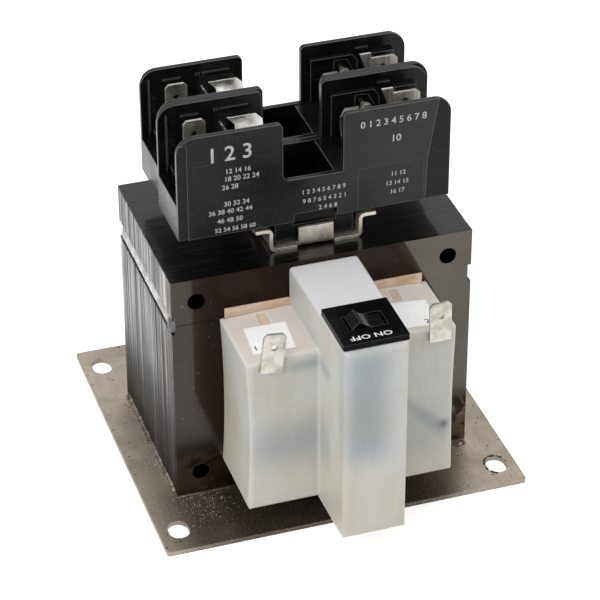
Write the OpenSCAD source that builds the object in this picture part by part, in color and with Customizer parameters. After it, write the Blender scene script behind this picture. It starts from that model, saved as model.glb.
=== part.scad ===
// Control transformer: welded E-I core on a foot plate, moulded coil covers with a
// rocker protector, and a two-pole fuse block clipped to a short rail on top.
// Origin: centre of the foot plate's underside. +X right, -Y front, +Z up. Millimetres.

/* [Foot plate] */
// Plate width, left to right
plate_w = 107.8; // [100:0.1:130]
// Plate depth, front to back
plate_d = 103.2; // [80:0.1:130]
// Sheet thickness of the plate
plate_t = 1.4; // [1:0.1:3]
// Corner radius of the plate
plate_corner_r = 1.0; // [0.5:0.1:4]
// Width of each mounting slot, across the plate
slot_w = 5.9; // [4:0.1:7]
// Length of each mounting slot, front to back
slot_len = 7.8; // [7.2:0.1:12]
// Slot centre to the side edge
slot_inset_x = 5.85; // [4.5:0.05:7]
// Slot centre to the front or back edge
slot_inset_y = 9.2; // [7:0.1:16]

/* [Core] */
// Core width
core_w = 88; // [84:0.1:96]
// Core height, both lamination shapes together
core_h = 72.4; // [70:0.1:80]
// Depth of the lamination stack
stack_d = 55; // [45:0.5:60]
// Width of an outer limb, half of the centre limb
limb_w = 14.6; // [13:0.1:16]
// Height of the yoke at the bottom and at the top
yoke_h = 14.2; // [13:0.1:16]
// Radius of the four through holes
bolt_r = 2.5; // [1.5:0.1:3]
// Centre of a through hole to the core's edges
bolt_inset = 7.2; // [6:0.1:8]
// Number of lamination bands whose edges stand a little in or out
band_count = 24; // [8:1:30]
// Largest setback of a band's edge
band_step = 0.18; // [0.05:0.01:0.3]
// Height of the weld notch across the joint of the two stacks
notch_h = 5.4; // [3:0.1:8]
// Depth of the weld notch
notch_depth = 1.0; // [0.6:0.1:2]
// Radius of the weld beads that join the two stacks
joint_bead_r = 1.3; // [0.8:0.1:1.8]
// Radius of the weld beads that join the core to the plate
foot_bead_r = 1.5; // [0.8:0.1:2.2]
// Distance between the lumps of a weld bead
bead_pitch = 2.6; // [2:0.1:4]

/* [Coil] */
// Gap between the centre limb and the bobbin
limb_gap = 0.3; // [0.1:0.1:0.6]
// Wall of the bobbin's tube
bobbin_t = 1.2; // [0.8:0.1:2]
// Outer corner radius of the bobbin's tube
tube_corner_r = 0.6; // [0.4:0.1:1]
// Thickness of the bobbin's flanges
flange_t = 1.2; // [0.8:0.1:2]
// Gap between the bobbin and the bottom yoke
bobbin_seat = 0.3; // [0.1:0.1:1]
// Height of the bobbin
bobbin_h = 41.5; // [36:0.1:42]
// Gap between the bobbin's flange and the side limb
flange_gap = 1.6; // [1.5:0.1:2]
// How far the flange reaches past the core's faces
flange_reach = 14.4; // [12:0.1:18]
// Build of the primary winding
primary_build = 5.2; // [2:0.1:6]
// Sheet insulation between the windings
layer_t = 0.5; // [0.2:0.1:1]
// Room between the wrapped coil and the edge of the bobbin's flange
coil_margin = 0.7; // [0.3:0.1:1.5]
// Outer wrap of the coil
wrap_t = 0.4; // [0.2:0.1:0.8]
// Gap between one layer of the coil and the next
layer_gap = 0.05; // [0.02:0.01:0.2]
// Thickness of the pressboard angles
board_t = 0.6; // [0.4:0.1:1]
// Top of the pressboard above the cover's top
board_rise = 3.1; // [1:0.1:6]
// How far the pressboard reaches over the coil
board_reach = 10; // [9:0.1:13]
// Pressboard's upright lip, in from the cover's side faces
board_inset = 1.5; // [1.2:0.1:5]

/* [Coil covers] */
// Width of the covers
cover_w = 60.8; // [58:0.1:64]
// Depth of the front cover's side boxes from the core
front_depth = 24.7; // [20:0.1:30]
// Depth of the rear cover from the core
rear_depth = 23.0; // [19:0.1:30]
// Underside of the covers above the plate
cover_lift = 9.3; // [6:0.1:13]
// Wall of the covers
cover_wall = 1.5; // [1:0.1:2]
// Radius of the covers' outer edges
cover_edge_r = 1.9; // [1:0.1:3]
// Rise of the crowned top from the sides to the middle
crown = 1.1; // [0.4:0.1:2]
// How far the side faces bow inwards
side_bow = 0.9; // [0.3:0.1:1.2]
// Gap between the bobbin's flange and the inside of a cover
cover_side_gap = 0.2; // [0.1:0.1:0.6]
// Gap between a cover and the core's face
cover_gap = 0.2; // [0.1:0.1:0.6]
// Gap between a cover and the pressboard under its top
board_gap = 0.1; // [0.05:0.05:0.4]
// Depth of the protector housing from the core
housing_depth = 44.5; // [40:0.1:50]
// Width of the protector housing at the core
housing_back_w = 20.1; // [19:0.1:24]
// Width of the protector housing at the front
housing_front_w = 18.2; // [17.5:0.1:22]
// Top of the protector housing above the side boxes
housing_rise = 11.6; // [6:0.1:16]
// Underside of the protector housing below the side boxes
housing_drop = 0.5; // [0:0.1:1.5]
// Width of a latch slot in the cover's top
latch_w = 2.4; // [1.5:0.1:4]
// Length of a latch slot
latch_len = 5.6; // [3:0.1:7]
// Latch slot's centre from the middle
latch_x = 19.2; // [15:0.1:22]

/* [Protector] */
// Width of the black bezel
bezel_w = 18.6; // [18.6:0.1:24]
// Length of the black bezel, front to back
bezel_len = 18.7; // [18:0.1:24]
// Thickness of the bezel
bezel_t = 1.7; // [1.2:0.1:2.5]
// Gap under the bezel
bezel_gap = 0.05; // [0.02:0.01:0.2]
// Bezel's front edge behind the housing's front face
bezel_setback = 1.0; // [0:0.1:1.5]
// Width of the rocker's opening
rocker_open_w = 10.95; // [8:0.05:12]
// Length of the rocker's opening
rocker_open_len = 6.7; // [6:0.1:10]
// Opening's centre behind the bezel's centre
rocker_shift = 0.45; // [0:0.05:2.5]
// Gap between the rocker and its opening
rocker_gap = 0.25; // [0.15:0.05:0.4]
// Depth of the rocker's pivot below the bezel's face
pivot_depth = 2.6; // [1.8:0.05:2.9]
// Radius of the rocker's pins
pin_r = 0.8; // [0.5:0.05:0.9]
// Radial gap round the pins
pin_gap = 0.05; // [0.02:0.01:0.1]
// Length of each pin
pin_len = 1.2; // [0.8:0.1:1.5]
// Swing of the rocker when its right wing is pressed, degrees
rocker_swing = 10; // [6:0.5:12]
// Height of the rocker's ridge above the bezel's face
ridge_rise = 2.1; // [1:0.1:2.4]
// Ridge to the left of the pivot
ridge_offset = 2.4; // [1.5:0.1:3]
// Right wing's edge below the bezel's face at rest
edge_drop = 0.6; // [0.3:0.1:1]
// Underside of the rocker below its pivot
rocker_depth = 3.4; // [2.4:0.1:4]
// Wall round the rocker's opening
collar_wall = 1.6; // [1.4:0.1:1.8]
// Depth of the collar under the bezel
collar_depth = 6.6; // [5.6:0.1:9]
// Height of the protector's body under the collar
body_h = 30; // [20:1:32]
// Width of the protector's body
body_w = 13.6; // [10:0.1:14]
// Length of the protector's body, front to back
body_len = 15.8; // [12:0.1:16]
// Length of the blades under the protector's body
stab_len = 7; // [5:0.5:9]
// Radius of the rivets' bores through the protector's body
body_bore_r = 1.3; // [0.8:0.1:1.6]
// Rivet bores from the top and the bottom of the protector's body
body_bore_inset = 8; // [4:0.5:9]

/* [Quick-connect tabs and labels] */
// Width of a quick-connect tab
tab_w = 6.35; // [4.75:0.05:6.6]
// Thickness of a tab
tab_t = 0.8; // [0.5:0.1:1]
// Height of a secondary tab's blade
tab_h = 12; // [8:0.1:16]
// Radius of a tab's hole
tab_hole_r = 0.95; // [0.5:0.05:1.2]
// Hole's centre below the blade's end
tab_hole_drop = 4.2; // [2.5:0.1:6]
// Corner cut of the blade's end
tab_corner = 1.0; // [0.3:0.1:1.6]
// Length of a tab's foot through the cover's wall
tab_foot = 6; // [4:0.1:9]
// Width of a tab's foot
tab_foot_w = 5; // [3.5:0.1:5.4]
// Tab's level below the side box's top
tab_drop = 2.4; // [2.2:0.1:6]
// Distance of the blade from the cover's face
tab_standoff = 0.2; // [0.2:0.1:1]
// Gap round a tab in its slot
tab_slot_gap = 0.1; // [0.05:0.05:0.3]
// Middle of the left secondary tab, in from the cover's side
tab_left_inset = 6.8; // [5.3:0.1:14]
// Middle of the right secondary tab, in from the cover's side
tab_right_inset = 5.3; // [5.3:0.1:14]
// Lean of the left tab, degrees
tab_left_lean = 6.5; // [0:0.5:8]
// Lean of the right tab, degrees
tab_right_lean = -1; // [-6:0.5:6]
// Distance between the four primary tabs
primary_pitch = 13; // [9:0.1:14]
// Width of a paper label
label_w = 11.8; // [8:0.1:13]
// Length of a paper label
label_len = 12.8; // [8:0.1:14]
// Thickness of a paper label
label_t = 0.15; // [0.1:0.01:0.3]
// Middle of a label, in from the cover's side
label_inset = 10; // [8:0.1:13]
// Middle of the left label from the cover's back edge
label_left_y = 14.2; // [9:0.1:16]
// Middle of the right label from the cover's back edge
label_right_y = 15.6; // [9:0.1:16]
// Turn of the left label, as it was stuck on by hand, degrees
label_left_turn = -5; // [-8:0.5:8]
// Turn of the right label, degrees
label_right_turn = -3; // [-8:0.5:8]
// Diameter of an inner lead
lead_d = 2.4; // [1.5:0.1:3]

/* [Rail] */
// Rail width over the lips
rail_w = 35; // [35:0.1:36]
// Rail height
rail_h = 7.5; // [7.5:0.1:8]
// Rail sheet thickness
rail_t = 1.0; // [0.8:0.1:1.2]
// Outside width of the rail's channel
rail_channel_w = 27; // [26.5:0.1:27.5]
// Length of the rail, front to back
rail_len = 42.2; // [42:0.1:46]
// Bend radius of the rail, inside
rail_bend_r = 0.8; // [0.4:0.1:1.2]
// Width of the upturned stop tongues at the rail's ends
tongue_w = 10.1; // [6:0.1:12]
// Height of the stop tongues over the core
tongue_h = 6.4; // [4:0.1:7]
// Radius of the tack welds beside the rail
tack_r = 1.3; // [0.8:0.1:1.6]
// Tack welds in from the rail's ends
tack_inset = 12; // [4:0.5:16]

/* [Fuse block] */
// Length of the block, left to right
block_len = 78.6; // [74:0.1:84]
// Width of one pole module
pole_w = 20.55; // [19.5:0.05:20.6]
// Gap between the two pole modules
pole_gap = 0.5; // [0.05:0.05:0.6]
// How far the rear module sits to the right of the front one on the rail
pole_shift = 1.0; // [0:0.1:1.2]
// Height of a module's walls
block_h = 31.5; // [28:0.1:36]
// Gap from the rail's top to the walls' lower edge
block_lift = 1.0; // [0.6:0.1:2]
// Thickness of a module's side walls
side_t = 1.5; // [1.4:0.1:2.2]
// Outer top corners' radius
corner_out_r = 5; // [2:0.1:7]
// Inner top corners' radius
corner_in_r = 1.4; // [0.5:0.1:3]
// Left edge of the fuse window from the middle
window_left = 9.4; // [8:0.1:10.5]
// Right edge of the fuse window from the middle
window_right = 7.9; // [6.5:0.1:8.6]
// Height of the window's sill above the walls' lower edge
sill_h = 13.5; // [11:0.1:16]
// Setback of the clip decks below the sill
deck_drop = 0.3; // [0.1:0.1:1]
// Setback of the end ledges below the decks
ledge_drop = 3.0; // [1:0.1:5]
// Length of the end ledges
ledge_len = 3.1; // [2:0.1:4]
// Right edge of the deep fuse pocket from the middle
pocket_right = 5.9; // [4:0.1:6.4]
// Floor under the fuse pocket
pocket_floor = 2.0; // [1.5:0.1:3]
// Walls of the moulded cells on the underside
cell_wall = 1.8; // [1.4:0.1:2.4]
// Depth of the stepped panels on the outer faces
panel_step = 0.45; // [0.2:0.05:0.7]
// Clearance of the block's foot in the rail
foot_gap = 0.15; // [0.1:0.05:0.3]
// Setback of the foot behind the walls' faces
foot_setback = 0.6; // [0.6:0.05:2]
// Thickness of the hooks that hold a module on the rail
hook_t = 1.6; // [1.2:0.1:2.4]
// Width of the hooks
hook_w = 8; // [4:0.5:12]
// How far a hook reaches under the rail's lip
hook_grip = 0.9; // [0.6:0.1:1.2]
// Lower edge of the hooks under the rail's top
hook_drop = 2.6; // [2:0.1:3.5]
// Start of the moulded cells from the middle
cell_start = 19.8; // [18:0.1:22]

/* [Relief on the fuse block's walls] */
// Height of the thin ribs on a wall's inner face
rib_h = 0.5; // [0.3:0.1:1]
// How far the thin ribs stand out
rib_out = 0.6; // [0.3:0.1:1]
// Upper rib below the wall's top
rib_drop = 2.6; // [1:0.1:5]
// Inner end of the upper rib from the middle
rib_start = 13.4; // [11:0.1:16]
// Break in the upper rib
rib_break = 21.4; // [18:0.1:22]
// Outer end of the upper rib
rib_end = 23.4; // [22.5:0.1:26]
// Inner end of the short side rib
side_rib_start = 27.6; // [26:0.1:29]
// Outer end of the short side rib
side_rib_end = 32.8; // [30:0.1:35]
// Upright rib from the middle
upright_x = 36.8; // [35.5:0.1:37.2]
// Inner end of the guard bar above the right terminal
guard_start = 29.0; // [28:0.1:31]
// Outer end of the guard bar
guard_end = 35.4; // [33:0.1:36]
// How far the guard bar stands out
guard_out = 1.6; // [0.8:0.1:2]
// Height of the guard bar
guard_h = 1.9; // [1:0.1:2.5]
// Guard bar's top below the wall's top
guard_drop = 4.6; // [3:0.1:6]
// Inner end of the small ledge
ledge_rib_start = 24.2; // [23:0.1:25]
// Outer end of the small ledge
ledge_rib_end = 27.8; // [26:0.1:29]
// Raised panel's inner edge from the middle
panel_start = 10.5; // [9:0.1:12]
// Raised panel's outer edge
panel_end = 25.2; // [24.5:0.1:26]
// How far the panel stands out
panel_out = 1.0; // [0.5:0.1:1.4]
// Panel's top below the wall's top
panel_drop = 4.4; // [3:0.1:6]
// Notch's inner edge in the panel
notch_start = 17.6; // [15:0.1:19]
// Notch's width
notch_w = 6.2; // [4:0.1:6.8]
// Notch's top below the panel's top
notch_drop = 1.0; // [0.5:0.1:2]
// Height of the notch
notch_tall = 10.6; // [6:0.1:12]
// Start of the lower step on the outer face, from the middle
step_start = 12.4; // [10:0.1:16]
// Width of the right edge band on the outer face, at the bottom
band_w = 7.2; // [5:0.1:9]
// Width of the left edge band on the outer face
left_band_w = 2.7; // [2:0.1:5]

/* [Fuse terminals] */
// Thickness of the terminal strips
strip_t = 0.8; // [0.6:0.1:1]
// Height of the terminal blades above the deck
blade_h = 16.2; // [12:0.1:17.5]
// Distance of a blade's plane behind the pole's middle
blade_back = 3.1; // [2.5:0.1:5]
// Middle of the left blades from the centre
blade_left_x = 30.4; // [28.5:0.1:31]
// Right blades' right edge from the centre
blade_right_end = 34.9; // [33:0.1:35]
// Width of the right blades over their shoulder
right_blade_w = 11.3; // [10:0.1:12]
// Width of the right blades' lower, outer part
right_step_w = 8.0; // [7:0.1:8.6]
// Height of the step between the two parts
right_step_h = 1.7; // [1:0.1:3]
// Diameter of the fuse's ferrules
ferrule_d = 10.3; // [9.5:0.1:10.6]
// Thickness of the clips' spring sheet
clip_t = 0.5; // [0.3:0.05:0.7]
// Length of a left clip along the fuse
clip_len = 10; // [6:0.1:10.4]
// Length of a right clip, which is shorter and stands deeper in its tower
clip_right_len = 6; // [4:0.1:6.4]
// Middle of the left clips from the centre
clip_left_x = 15.6; // [14.5:0.1:16.5]
// Middle of the right clips from the centre
clip_right_x = 15.2; // [14:0.1:15.6]
// Height of the left clips above the strip
clip_left_h = 13.2; // [12.6:0.1:16]
// Height of the right clips above the strip
clip_right_h = 9.2; // [8.8:0.1:12]
// How far the left leaves reach round the ferrule above its middle, degrees
clip_left_wrap = 48; // [30:1:50]
// How far the right leaves reach round the ferrule above its middle, degrees
clip_right_wrap = 20; // [10:1:30]
// How far a clip's lips flare out
lip_flare = 1.3; // [0.6:0.1:1.6]
// Cut at the inner end of the lips
lip_cut = 1.7; // [0.8:0.1:2.4]
// Overhang of the lips at the outer end
lip_over = 2.0; // [0.8:0.1:2.6]
// Gap between a clip's leaves and its end stops
stop_gap = 0.2; // [0.1:0.1:0.5]
// Width of each end stop
stop_w = 2.2; // [1.2:0.1:2.6]
// Height of the left end stops' upright part
stop_h = 9.6; // [5:0.1:11]
// Height of the right end stops
stop_right_h = 7.6; // [5:0.1:8.6]
// Height of the left end stops' flared part
stop_flare_h = 3.4; // [1:0.1:4]
// How far the left end stops flare out
stop_flare = 1.8; // [0.5:0.1:2.4]
// Radius of the terminal screws' washers
washer_r = 3.4; // [2.8:0.1:3.6]
// Thickness of the washers
washer_t = 0.7; // [0.4:0.1:1]
// Radius of the terminal screws' heads
screw_head_r = 2.6; // [2.2:0.1:2.8]
// Height of the terminal screws' heads
screw_head_h = 1.8; // [1.2:0.1:2.4]
// Radius of the terminal screws' shanks
screw_r = 1.7; // [1.4:0.1:2]
// Length of the terminal screws' shanks
screw_len = 7.5; // [5:0.1:8]
// Radial gap round the screws' shanks
screw_gap = 0.08; // [0.05:0.01:0.2]
// Width of the screws' driver slots
driver_slot_w = 0.9; // [0.6:0.1:1.2]
// Depth of the driver slots
driver_slot_depth = 0.8; // [0.5:0.1:1]
// Small rivet's place from the middle
rivet_x = 20.2; // [19.4:0.1:21]
// Small rivet below the wall's top
rivet_drop = 9; // [8:0.1:10]
// Radius of the small rivet's shank
rivet_r = 0.9; // [0.6:0.1:1.1]
// Radius of the small rivet's head
rivet_head_r = 1.6; // [1.2:0.1:1.8]
// Length of the small rivet's shank
rivet_len = 2.2; // [1.5:0.1:2.6]
// Thickness of the small rivet's head
rivet_head_t = 1.3; // [0.6:0.1:1.6]

/* [Hidden] */
$fn = 48;
eps = 0.02;
fine_fn = 720;

// Levels and half widths of the core
core_top = plate_t + core_h;
joint_z = core_top - yoke_h;
window_z = plate_t + yoke_h;
window_h = joint_z - window_z;
window_w = (core_w - 4 * limb_w) / 2;
core_face = stack_d / 2;
bolt_x = core_w / 2 - bolt_inset;
bolt_low_z = plate_t + bolt_inset;
bolt_high_z = core_top - bolt_inset;
slot_x = plate_w / 2 - slot_inset_x;
slot_y = plate_d / 2 - slot_inset_y;

// Coil
bobbin_z = window_z + bobbin_seat;
bobbin_top = bobbin_z + bobbin_h;
tube_x = limb_w + limb_gap + bobbin_t;
tube_y = core_face + limb_gap + bobbin_t;
flange_x = min(limb_w + window_w - flange_gap, cover_w / 2 - side_bow - cover_wall - cover_side_gap);
flange_y = core_face + flange_reach;
wind_z = bobbin_z + flange_t + layer_gap;
wind_h = bobbin_h - 2 * (flange_t + layer_gap);
secondary_build = flange_x - coil_margin - tube_x - primary_build - layer_t - wrap_t - 4 * layer_gap;

// Covers
board_top = bobbin_top + layer_gap + board_t;
board_w = cover_w - 2 * board_inset;
cover_z = plate_t + cover_lift;
cover_inner_top = board_top + board_gap;
cover_top = cover_inner_top + cover_wall + crown;
cover_h = cover_top - cover_z;
cover_back = core_face + cover_gap;
front_face = cover_back + front_depth;
rear_face = cover_back + rear_depth;
crown_r = (pow(cover_w / 2, 2) + crown * crown) / (2 * crown);
bow_r = (pow(cover_h / 2, 2) + side_bow * side_bow) / (2 * side_bow);
housing_face = cover_back + housing_depth;
housing_top = cover_top + housing_rise;
housing_z = cover_z - housing_drop;

// Protector
bezel_z = housing_top + bezel_gap;
bezel_top = bezel_z + bezel_t;
bezel_y = bezel_len / 2 - housing_face + bezel_setback;
rocker_y = bezel_y + rocker_shift;
pivot_z = bezel_top - pivot_depth;
rocker_r = rocker_open_w / 2 - rocker_gap;
rocker_len = rocker_open_len - 2 * rocker_gap;
collar_floor = bezel_z - collar_depth;
collar_bottom = collar_floor - collar_wall;
body_top = collar_bottom - layer_gap;
body_z = body_top - body_h;

// Secondary tabs
tab_z = cover_top - crown - tab_drop;
blade_y = -(front_face + tab_standoff + tab_t / 2);
tab_left_x = cover_w / 2 - tab_left_inset;
tab_right_x = cover_w / 2 - tab_right_inset;
label_x = cover_w / 2 - label_inset;

// Rail and fuse block
rail_top = core_top + rail_h;
web_top = core_top + rail_t;
wall_z = rail_top + block_lift;
block_top = wall_z + block_h;
sill_z = wall_z + sill_h;
deck_z = sill_z - deck_drop;
ledge_z = deck_z - ledge_drop;
pole_y = (pole_w + pole_gap) / 2;
bay_y = pole_w / 2 - side_t;
slide_gap = pole_shift + foot_gap;
foot_y = min(pole_w / 2 - foot_setback, rail_len / 2 - rail_t - rail_bend_r - foot_gap - pole_y);
strip_top = deck_z + layer_gap + strip_t;
fuse_z = strip_top + clip_t + ferrule_d / 2 + 0.2;
blade_top = deck_z + blade_h;
left_screw_x = -blade_left_x;
right_screw_x = blade_right_end - 4.6;
screw_y = blade_back - tab_t / 2 - washer_r - 0.1;

// Extrudes a front outline, drawn as x and z, along Y and centred on it
module along_y(length) {
    rotate([90, 0, 0]) linear_extrude(length, center = true) children();
}

// Extrudes a side outline, drawn as y and z, along X and centred on it
module along_x(length) {
    rotate([90, 0, 90]) linear_extrude(length, center = true) children();
}

// Rectangle with round corners, centred
module rounded_rect(w, h, r) {
    square([w - 2 * r, h], center = true);
    square([w, h - 2 * r], center = true);
    for (sx = [-1, 1], sy = [-1, 1])
        translate([sx * (w / 2 - r), sy * (h / 2 - r)]) circle(r);
}

// Box given by its lowest and highest corners
module span(low, high) {
    translate(low) cube(high - low);
}

function arc_points(cx, cy, r, a0, a1, n) =
    [for (i = [0 : n]) let (a = a0 + (a1 - a0) * i / n) [cx + r * cos(a), cy + r * sin(a)]];

// Setback of a lamination band's edge: an even spread that never repeats side by side
function setback(i, k) = band_step * ((i * k) % 7) / 6;

// Foot plate with four mounting slots
module mounting_slot() {
    square([slot_w, slot_len - slot_w], center = true);
    for (s = [-1, 1])
        translate([0, s * (slot_len - slot_w) / 2]) circle(slot_w / 2);
}

module base_plate() {
    color("#9b9184") linear_extrude(plate_t) difference() {
        rounded_rect(plate_w, plate_d, plate_corner_r);
        for (sx = [-1, 1], sy = [-1, 1])
            translate([sx * slot_x, sy * slot_y]) mounting_slot();
    }
}

// Plan of the lamination stack: straight bands whose outer edges step in and out
module stack_plan() {
    pitch = stack_d / band_count;
    right_side = [for (i = [0 : band_count - 1], j = [0, 1])
        [core_w / 2 - setback(i, 3), -core_face + (i + j) * pitch]];
    left_side = [for (i = [band_count - 1 : -1 : 0], j = [1, 0])
        [-core_w / 2 + setback(i, 5), -core_face + (i + j) * pitch]];
    polygon(concat(right_side, left_side));
}

// Weld notches across the joint, one at each side
module notch_pair() {
    for (s = [-1, 1])
        translate([s * core_w / 2, joint_z]) square([2 * notch_depth, notch_h], center = true);
}

module e_outline() {
    difference() {
        translate([-core_w / 2, plate_t]) square([core_w, joint_z - plate_t]);
        for (s = [-1, 1])
            translate([s * (limb_w + window_w / 2) - window_w / 2, window_z])
                square([window_w, window_h + 1]);
        for (s = [-1, 1])
            translate([s * bolt_x, bolt_low_z]) circle(bolt_r);
        notch_pair();
    }
}

module i_outline() {
    difference() {
        translate([-core_w / 2, joint_z]) square([core_w, yoke_h]);
        for (s = [-1, 1])
            translate([s * bolt_x, bolt_high_z]) circle(bolt_r);
        notch_pair();
    }
}

module e_lamination_stack() {
    color("#4a4441") intersection() {
        along_y(stack_d) e_outline();
        linear_extrude(core_top) stack_plan();
    }
}

module i_lamination_stack() {
    color("#3a3634") intersection() {
        along_y(stack_d) i_outline();
        linear_extrude(core_top + 1) stack_plan();
    }
}

// Weld bead along Y: a row of lumps whose sizes vary a little
module bead_row(length, r, k) {
    count = floor(length / bead_pitch);
    for (i = [0 : count - 1])
        translate([0, (i + 0.5 - count / 2) * bead_pitch, 0])
            sphere(r * (0.88 + 0.12 * sin(i * 67 * k)));
    along_y((count - 1) * bead_pitch) circle(r * 0.7);
}

module base_welds() {
    color("#5b544d") for (s = [-1, 1])
        difference() {
            translate([s * core_w / 2, 0, plate_t]) bead_row(stack_d - 3, foot_bead_r, s + 3);
            span([-core_w / 2 - eps, -stack_d, 0], [core_w / 2 + eps, stack_d, core_top]);
            span([-core_w, -stack_d, -3], [core_w, stack_d, plate_t + eps]);
        }
}

// Bead in a weld notch, with a larger blob where the weld ended at the front
module core_weld(side) {
    x0 = core_w / 2 - notch_depth;
    difference() {
        union() {
            translate([side * x0, 0, joint_z]) bead_row(stack_d - 6, joint_bead_r, side + 4);
            translate([side * x0, 3 - core_face, joint_z - 0.3]) sphere(joint_bead_r * 1.5);
        }
        span([-x0 - eps, -stack_d, 0], [x0 + eps, stack_d, core_top]);
    }
}

module core_weld_left() {
    color("#8d8883") core_weld(-1);
}

module core_weld_right() {
    color("#8d8883") core_weld(1);
}

// Bobbin: a square tube round the centre limb with a flange at each end
module bobbin() {
    color("#d9d4c4") difference() {
        union() {
            translate([0, 0, bobbin_z]) linear_extrude(bobbin_h)
                rounded_rect(2 * tube_x, 2 * tube_y, tube_corner_r);
            for (z = [bobbin_z, bobbin_top - flange_t])
                translate([0, 0, z]) linear_extrude(flange_t)
                    rounded_rect(2 * flange_x, 2 * flange_y, 2);
        }
        translate([0, 0, bobbin_z - 1]) linear_extrude(bobbin_h + 2)
            square([2 * (limb_w + limb_gap), 2 * (core_face + limb_gap)], center = true);
    }
}

// One layer of the coil: a ring of the given build, starting at an offset from the tube
module coil_layer(start, build) {
    r = tube_corner_r + start;
    translate([0, 0, wind_z]) linear_extrude(wind_h) difference() {
        rounded_rect(2 * (tube_x + start + build), 2 * (tube_y + start + build), r + build);
        rounded_rect(2 * (tube_x + start), 2 * (tube_y + start), r);
    }
}

primary_start = layer_gap;
layer_start = primary_start + primary_build + layer_gap;
secondary_start = layer_start + layer_t + layer_gap;
wrap_start = secondary_start + secondary_build + layer_gap;

module primary_winding() {
    color("#9c5a2c") coil_layer(primary_start, primary_build);
}

module layer_insulation() {
    color("#c9a15f") coil_layer(layer_start, layer_t);
}

module secondary_winding() {
    color("#b0682f") coil_layer(secondary_start, secondary_build);
}

module coil_wrap() {
    color("#d7b878") coil_layer(wrap_start, wrap_t);
}

// Pressboard angle between the cover and the core; side is -1 at the front
module pressboard(side) {
    face = core_face + cover_gap / 2;
    low = min(side * face, side * (face + board_reach));
    high = max(side * face, side * (face + board_reach));
    lip_low = min(side * face, side * (face + board_t));
    lip_high = max(side * face, side * (face + board_t));
    board_z = bobbin_top + layer_gap;
    span([-flange_x + 2, low, board_z], [flange_x - 2, high, board_top]);
    span([-board_w / 2, lip_low, board_z], [board_w / 2, lip_high, cover_top - crown + board_rise]);
    for (s = [-1, 1])
        translate([s * latch_x, side * (face + board_reach / 2), board_z])
            linear_extrude(cover_wall + board_t + crown * 0.5)
                square([latch_w - 2 * board_gap, latch_len - 2 * board_gap], center = true);
}

module front_pressboard() {
    color("#c9a06c") pressboard(-1);
}

module rear_pressboard() {
    color("#c9a06c") pressboard(1);
}

// Front outline of a cover: crowned top, side faces bowed inwards
module box_outline() {
    difference() {
        intersection() {
            translate([0, cover_z + cover_h / 2]) rounded_rect(cover_w, cover_h, cover_edge_r);
            translate([0, cover_top - crown_r]) circle(crown_r, $fn = fine_fn);
        }
        for (s = [-1, 1])
            translate([s * (cover_w / 2 - side_bow + bow_r), cover_z + cover_h / 2])
                circle(bow_r, $fn = fine_fn);
    }
}

// Solid box of a cover from the core's face to the given depth, towards -Y
module box_form(depth) {
    intersection() {
        translate([0, -cover_back, 0]) rotate([90, 0, 0]) linear_extrude(depth) box_outline();
        translate([0, -cover_back - depth / 2 + 5, 0]) linear_extrude(cover_top + 1)
            rounded_rect(cover_w, depth + 10, cover_edge_r);
        translate([0, -cover_back - depth / 2 + 5, cover_z + cover_h / 2]) along_x(cover_w + 2)
            rounded_rect(depth + 10, cover_h, cover_edge_r);
    }
}

// Room inside a cover, open towards the core
module box_room(depth) {
    inside = cover_w / 2 - cover_wall - side_bow;
    span(
        [-inside, -cover_back - depth + cover_wall, cover_z + cover_wall],
        [inside, -cover_back + 1, cover_inner_top]
    );
}

// Plan of the protector housing, with round front corners
module housing_plan() {
    r = cover_edge_r;
    f = housing_front_w / 2;
    polygon([
        [-housing_back_w / 2, -cover_back],
        [-f, r - housing_face],
        [r - f, -housing_face],
        [f - r, -housing_face],
        [f, r - housing_face],
        [housing_back_w / 2, -cover_back]
    ]);
    for (s = [-1, 1])
        translate([s * (f - r), r - housing_face]) circle(r);
}

module housing_room_plan() {
    polygon([
        [-housing_back_w / 2 + cover_wall, 1 - cover_back],
        [-housing_front_w / 2 + cover_wall, cover_wall - housing_face],
        [housing_front_w / 2 - cover_wall, cover_wall - housing_face],
        [housing_back_w / 2 - cover_wall, 1 - cover_back]
    ]);
}

module housing_form() {
    h = housing_top - housing_z;
    middle = housing_z + h / 2;
    intersection() {
        translate([0, 0, housing_z]) linear_extrude(h) housing_plan();
        translate([0, -cover_back - housing_depth / 2 + 5, middle]) along_x(housing_back_w + 2)
            rounded_rect(housing_depth + 10, h, cover_edge_r);
        translate([0, -cover_back - housing_depth / 2, middle]) along_y(housing_depth)
            rounded_rect(housing_back_w, h, cover_edge_r * 0.6);
    }
}

// Slot in a cover's outer wall for a tab's foot
module tab_slot(x, y) {
    translate([x, y, tab_z])
        cube([tab_foot_w + 2 * tab_slot_gap, 3 * cover_wall, tab_t + 2 * tab_slot_gap], center = true);
}

module cover_cuts() {
    span(
        [-board_w / 2 - board_gap, -cover_back - board_t, bobbin_top - board_gap],
        [board_w / 2 + board_gap, -cover_back + 1, cover_top - crown + board_rise + board_gap]
    );
    for (s = [-1, 1])
        translate([s * latch_x, -core_face - cover_gap / 2 - board_reach / 2, cover_inner_top - 1])
            linear_extrude(cover_wall + crown + 2) square([latch_w, latch_len], center = true);
}

module front_coil_cover() {
    color("#d3d6d8") difference() {
        union() {
            box_form(front_depth);
            housing_form();
        }
        box_room(front_depth);
        translate([0, 0, housing_z + cover_wall])
            linear_extrude(housing_top - housing_z - 2 * cover_wall) housing_room_plan();
        translate([0, bezel_y, housing_top - 2 * cover_wall])
            linear_extrude(3 * cover_wall) square([body_w + 0.6, body_len + 0.6], center = true);
        tab_slot(-tab_left_x, -front_face);
        tab_slot(tab_right_x, -front_face);
        cover_cuts();
    }
}

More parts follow.
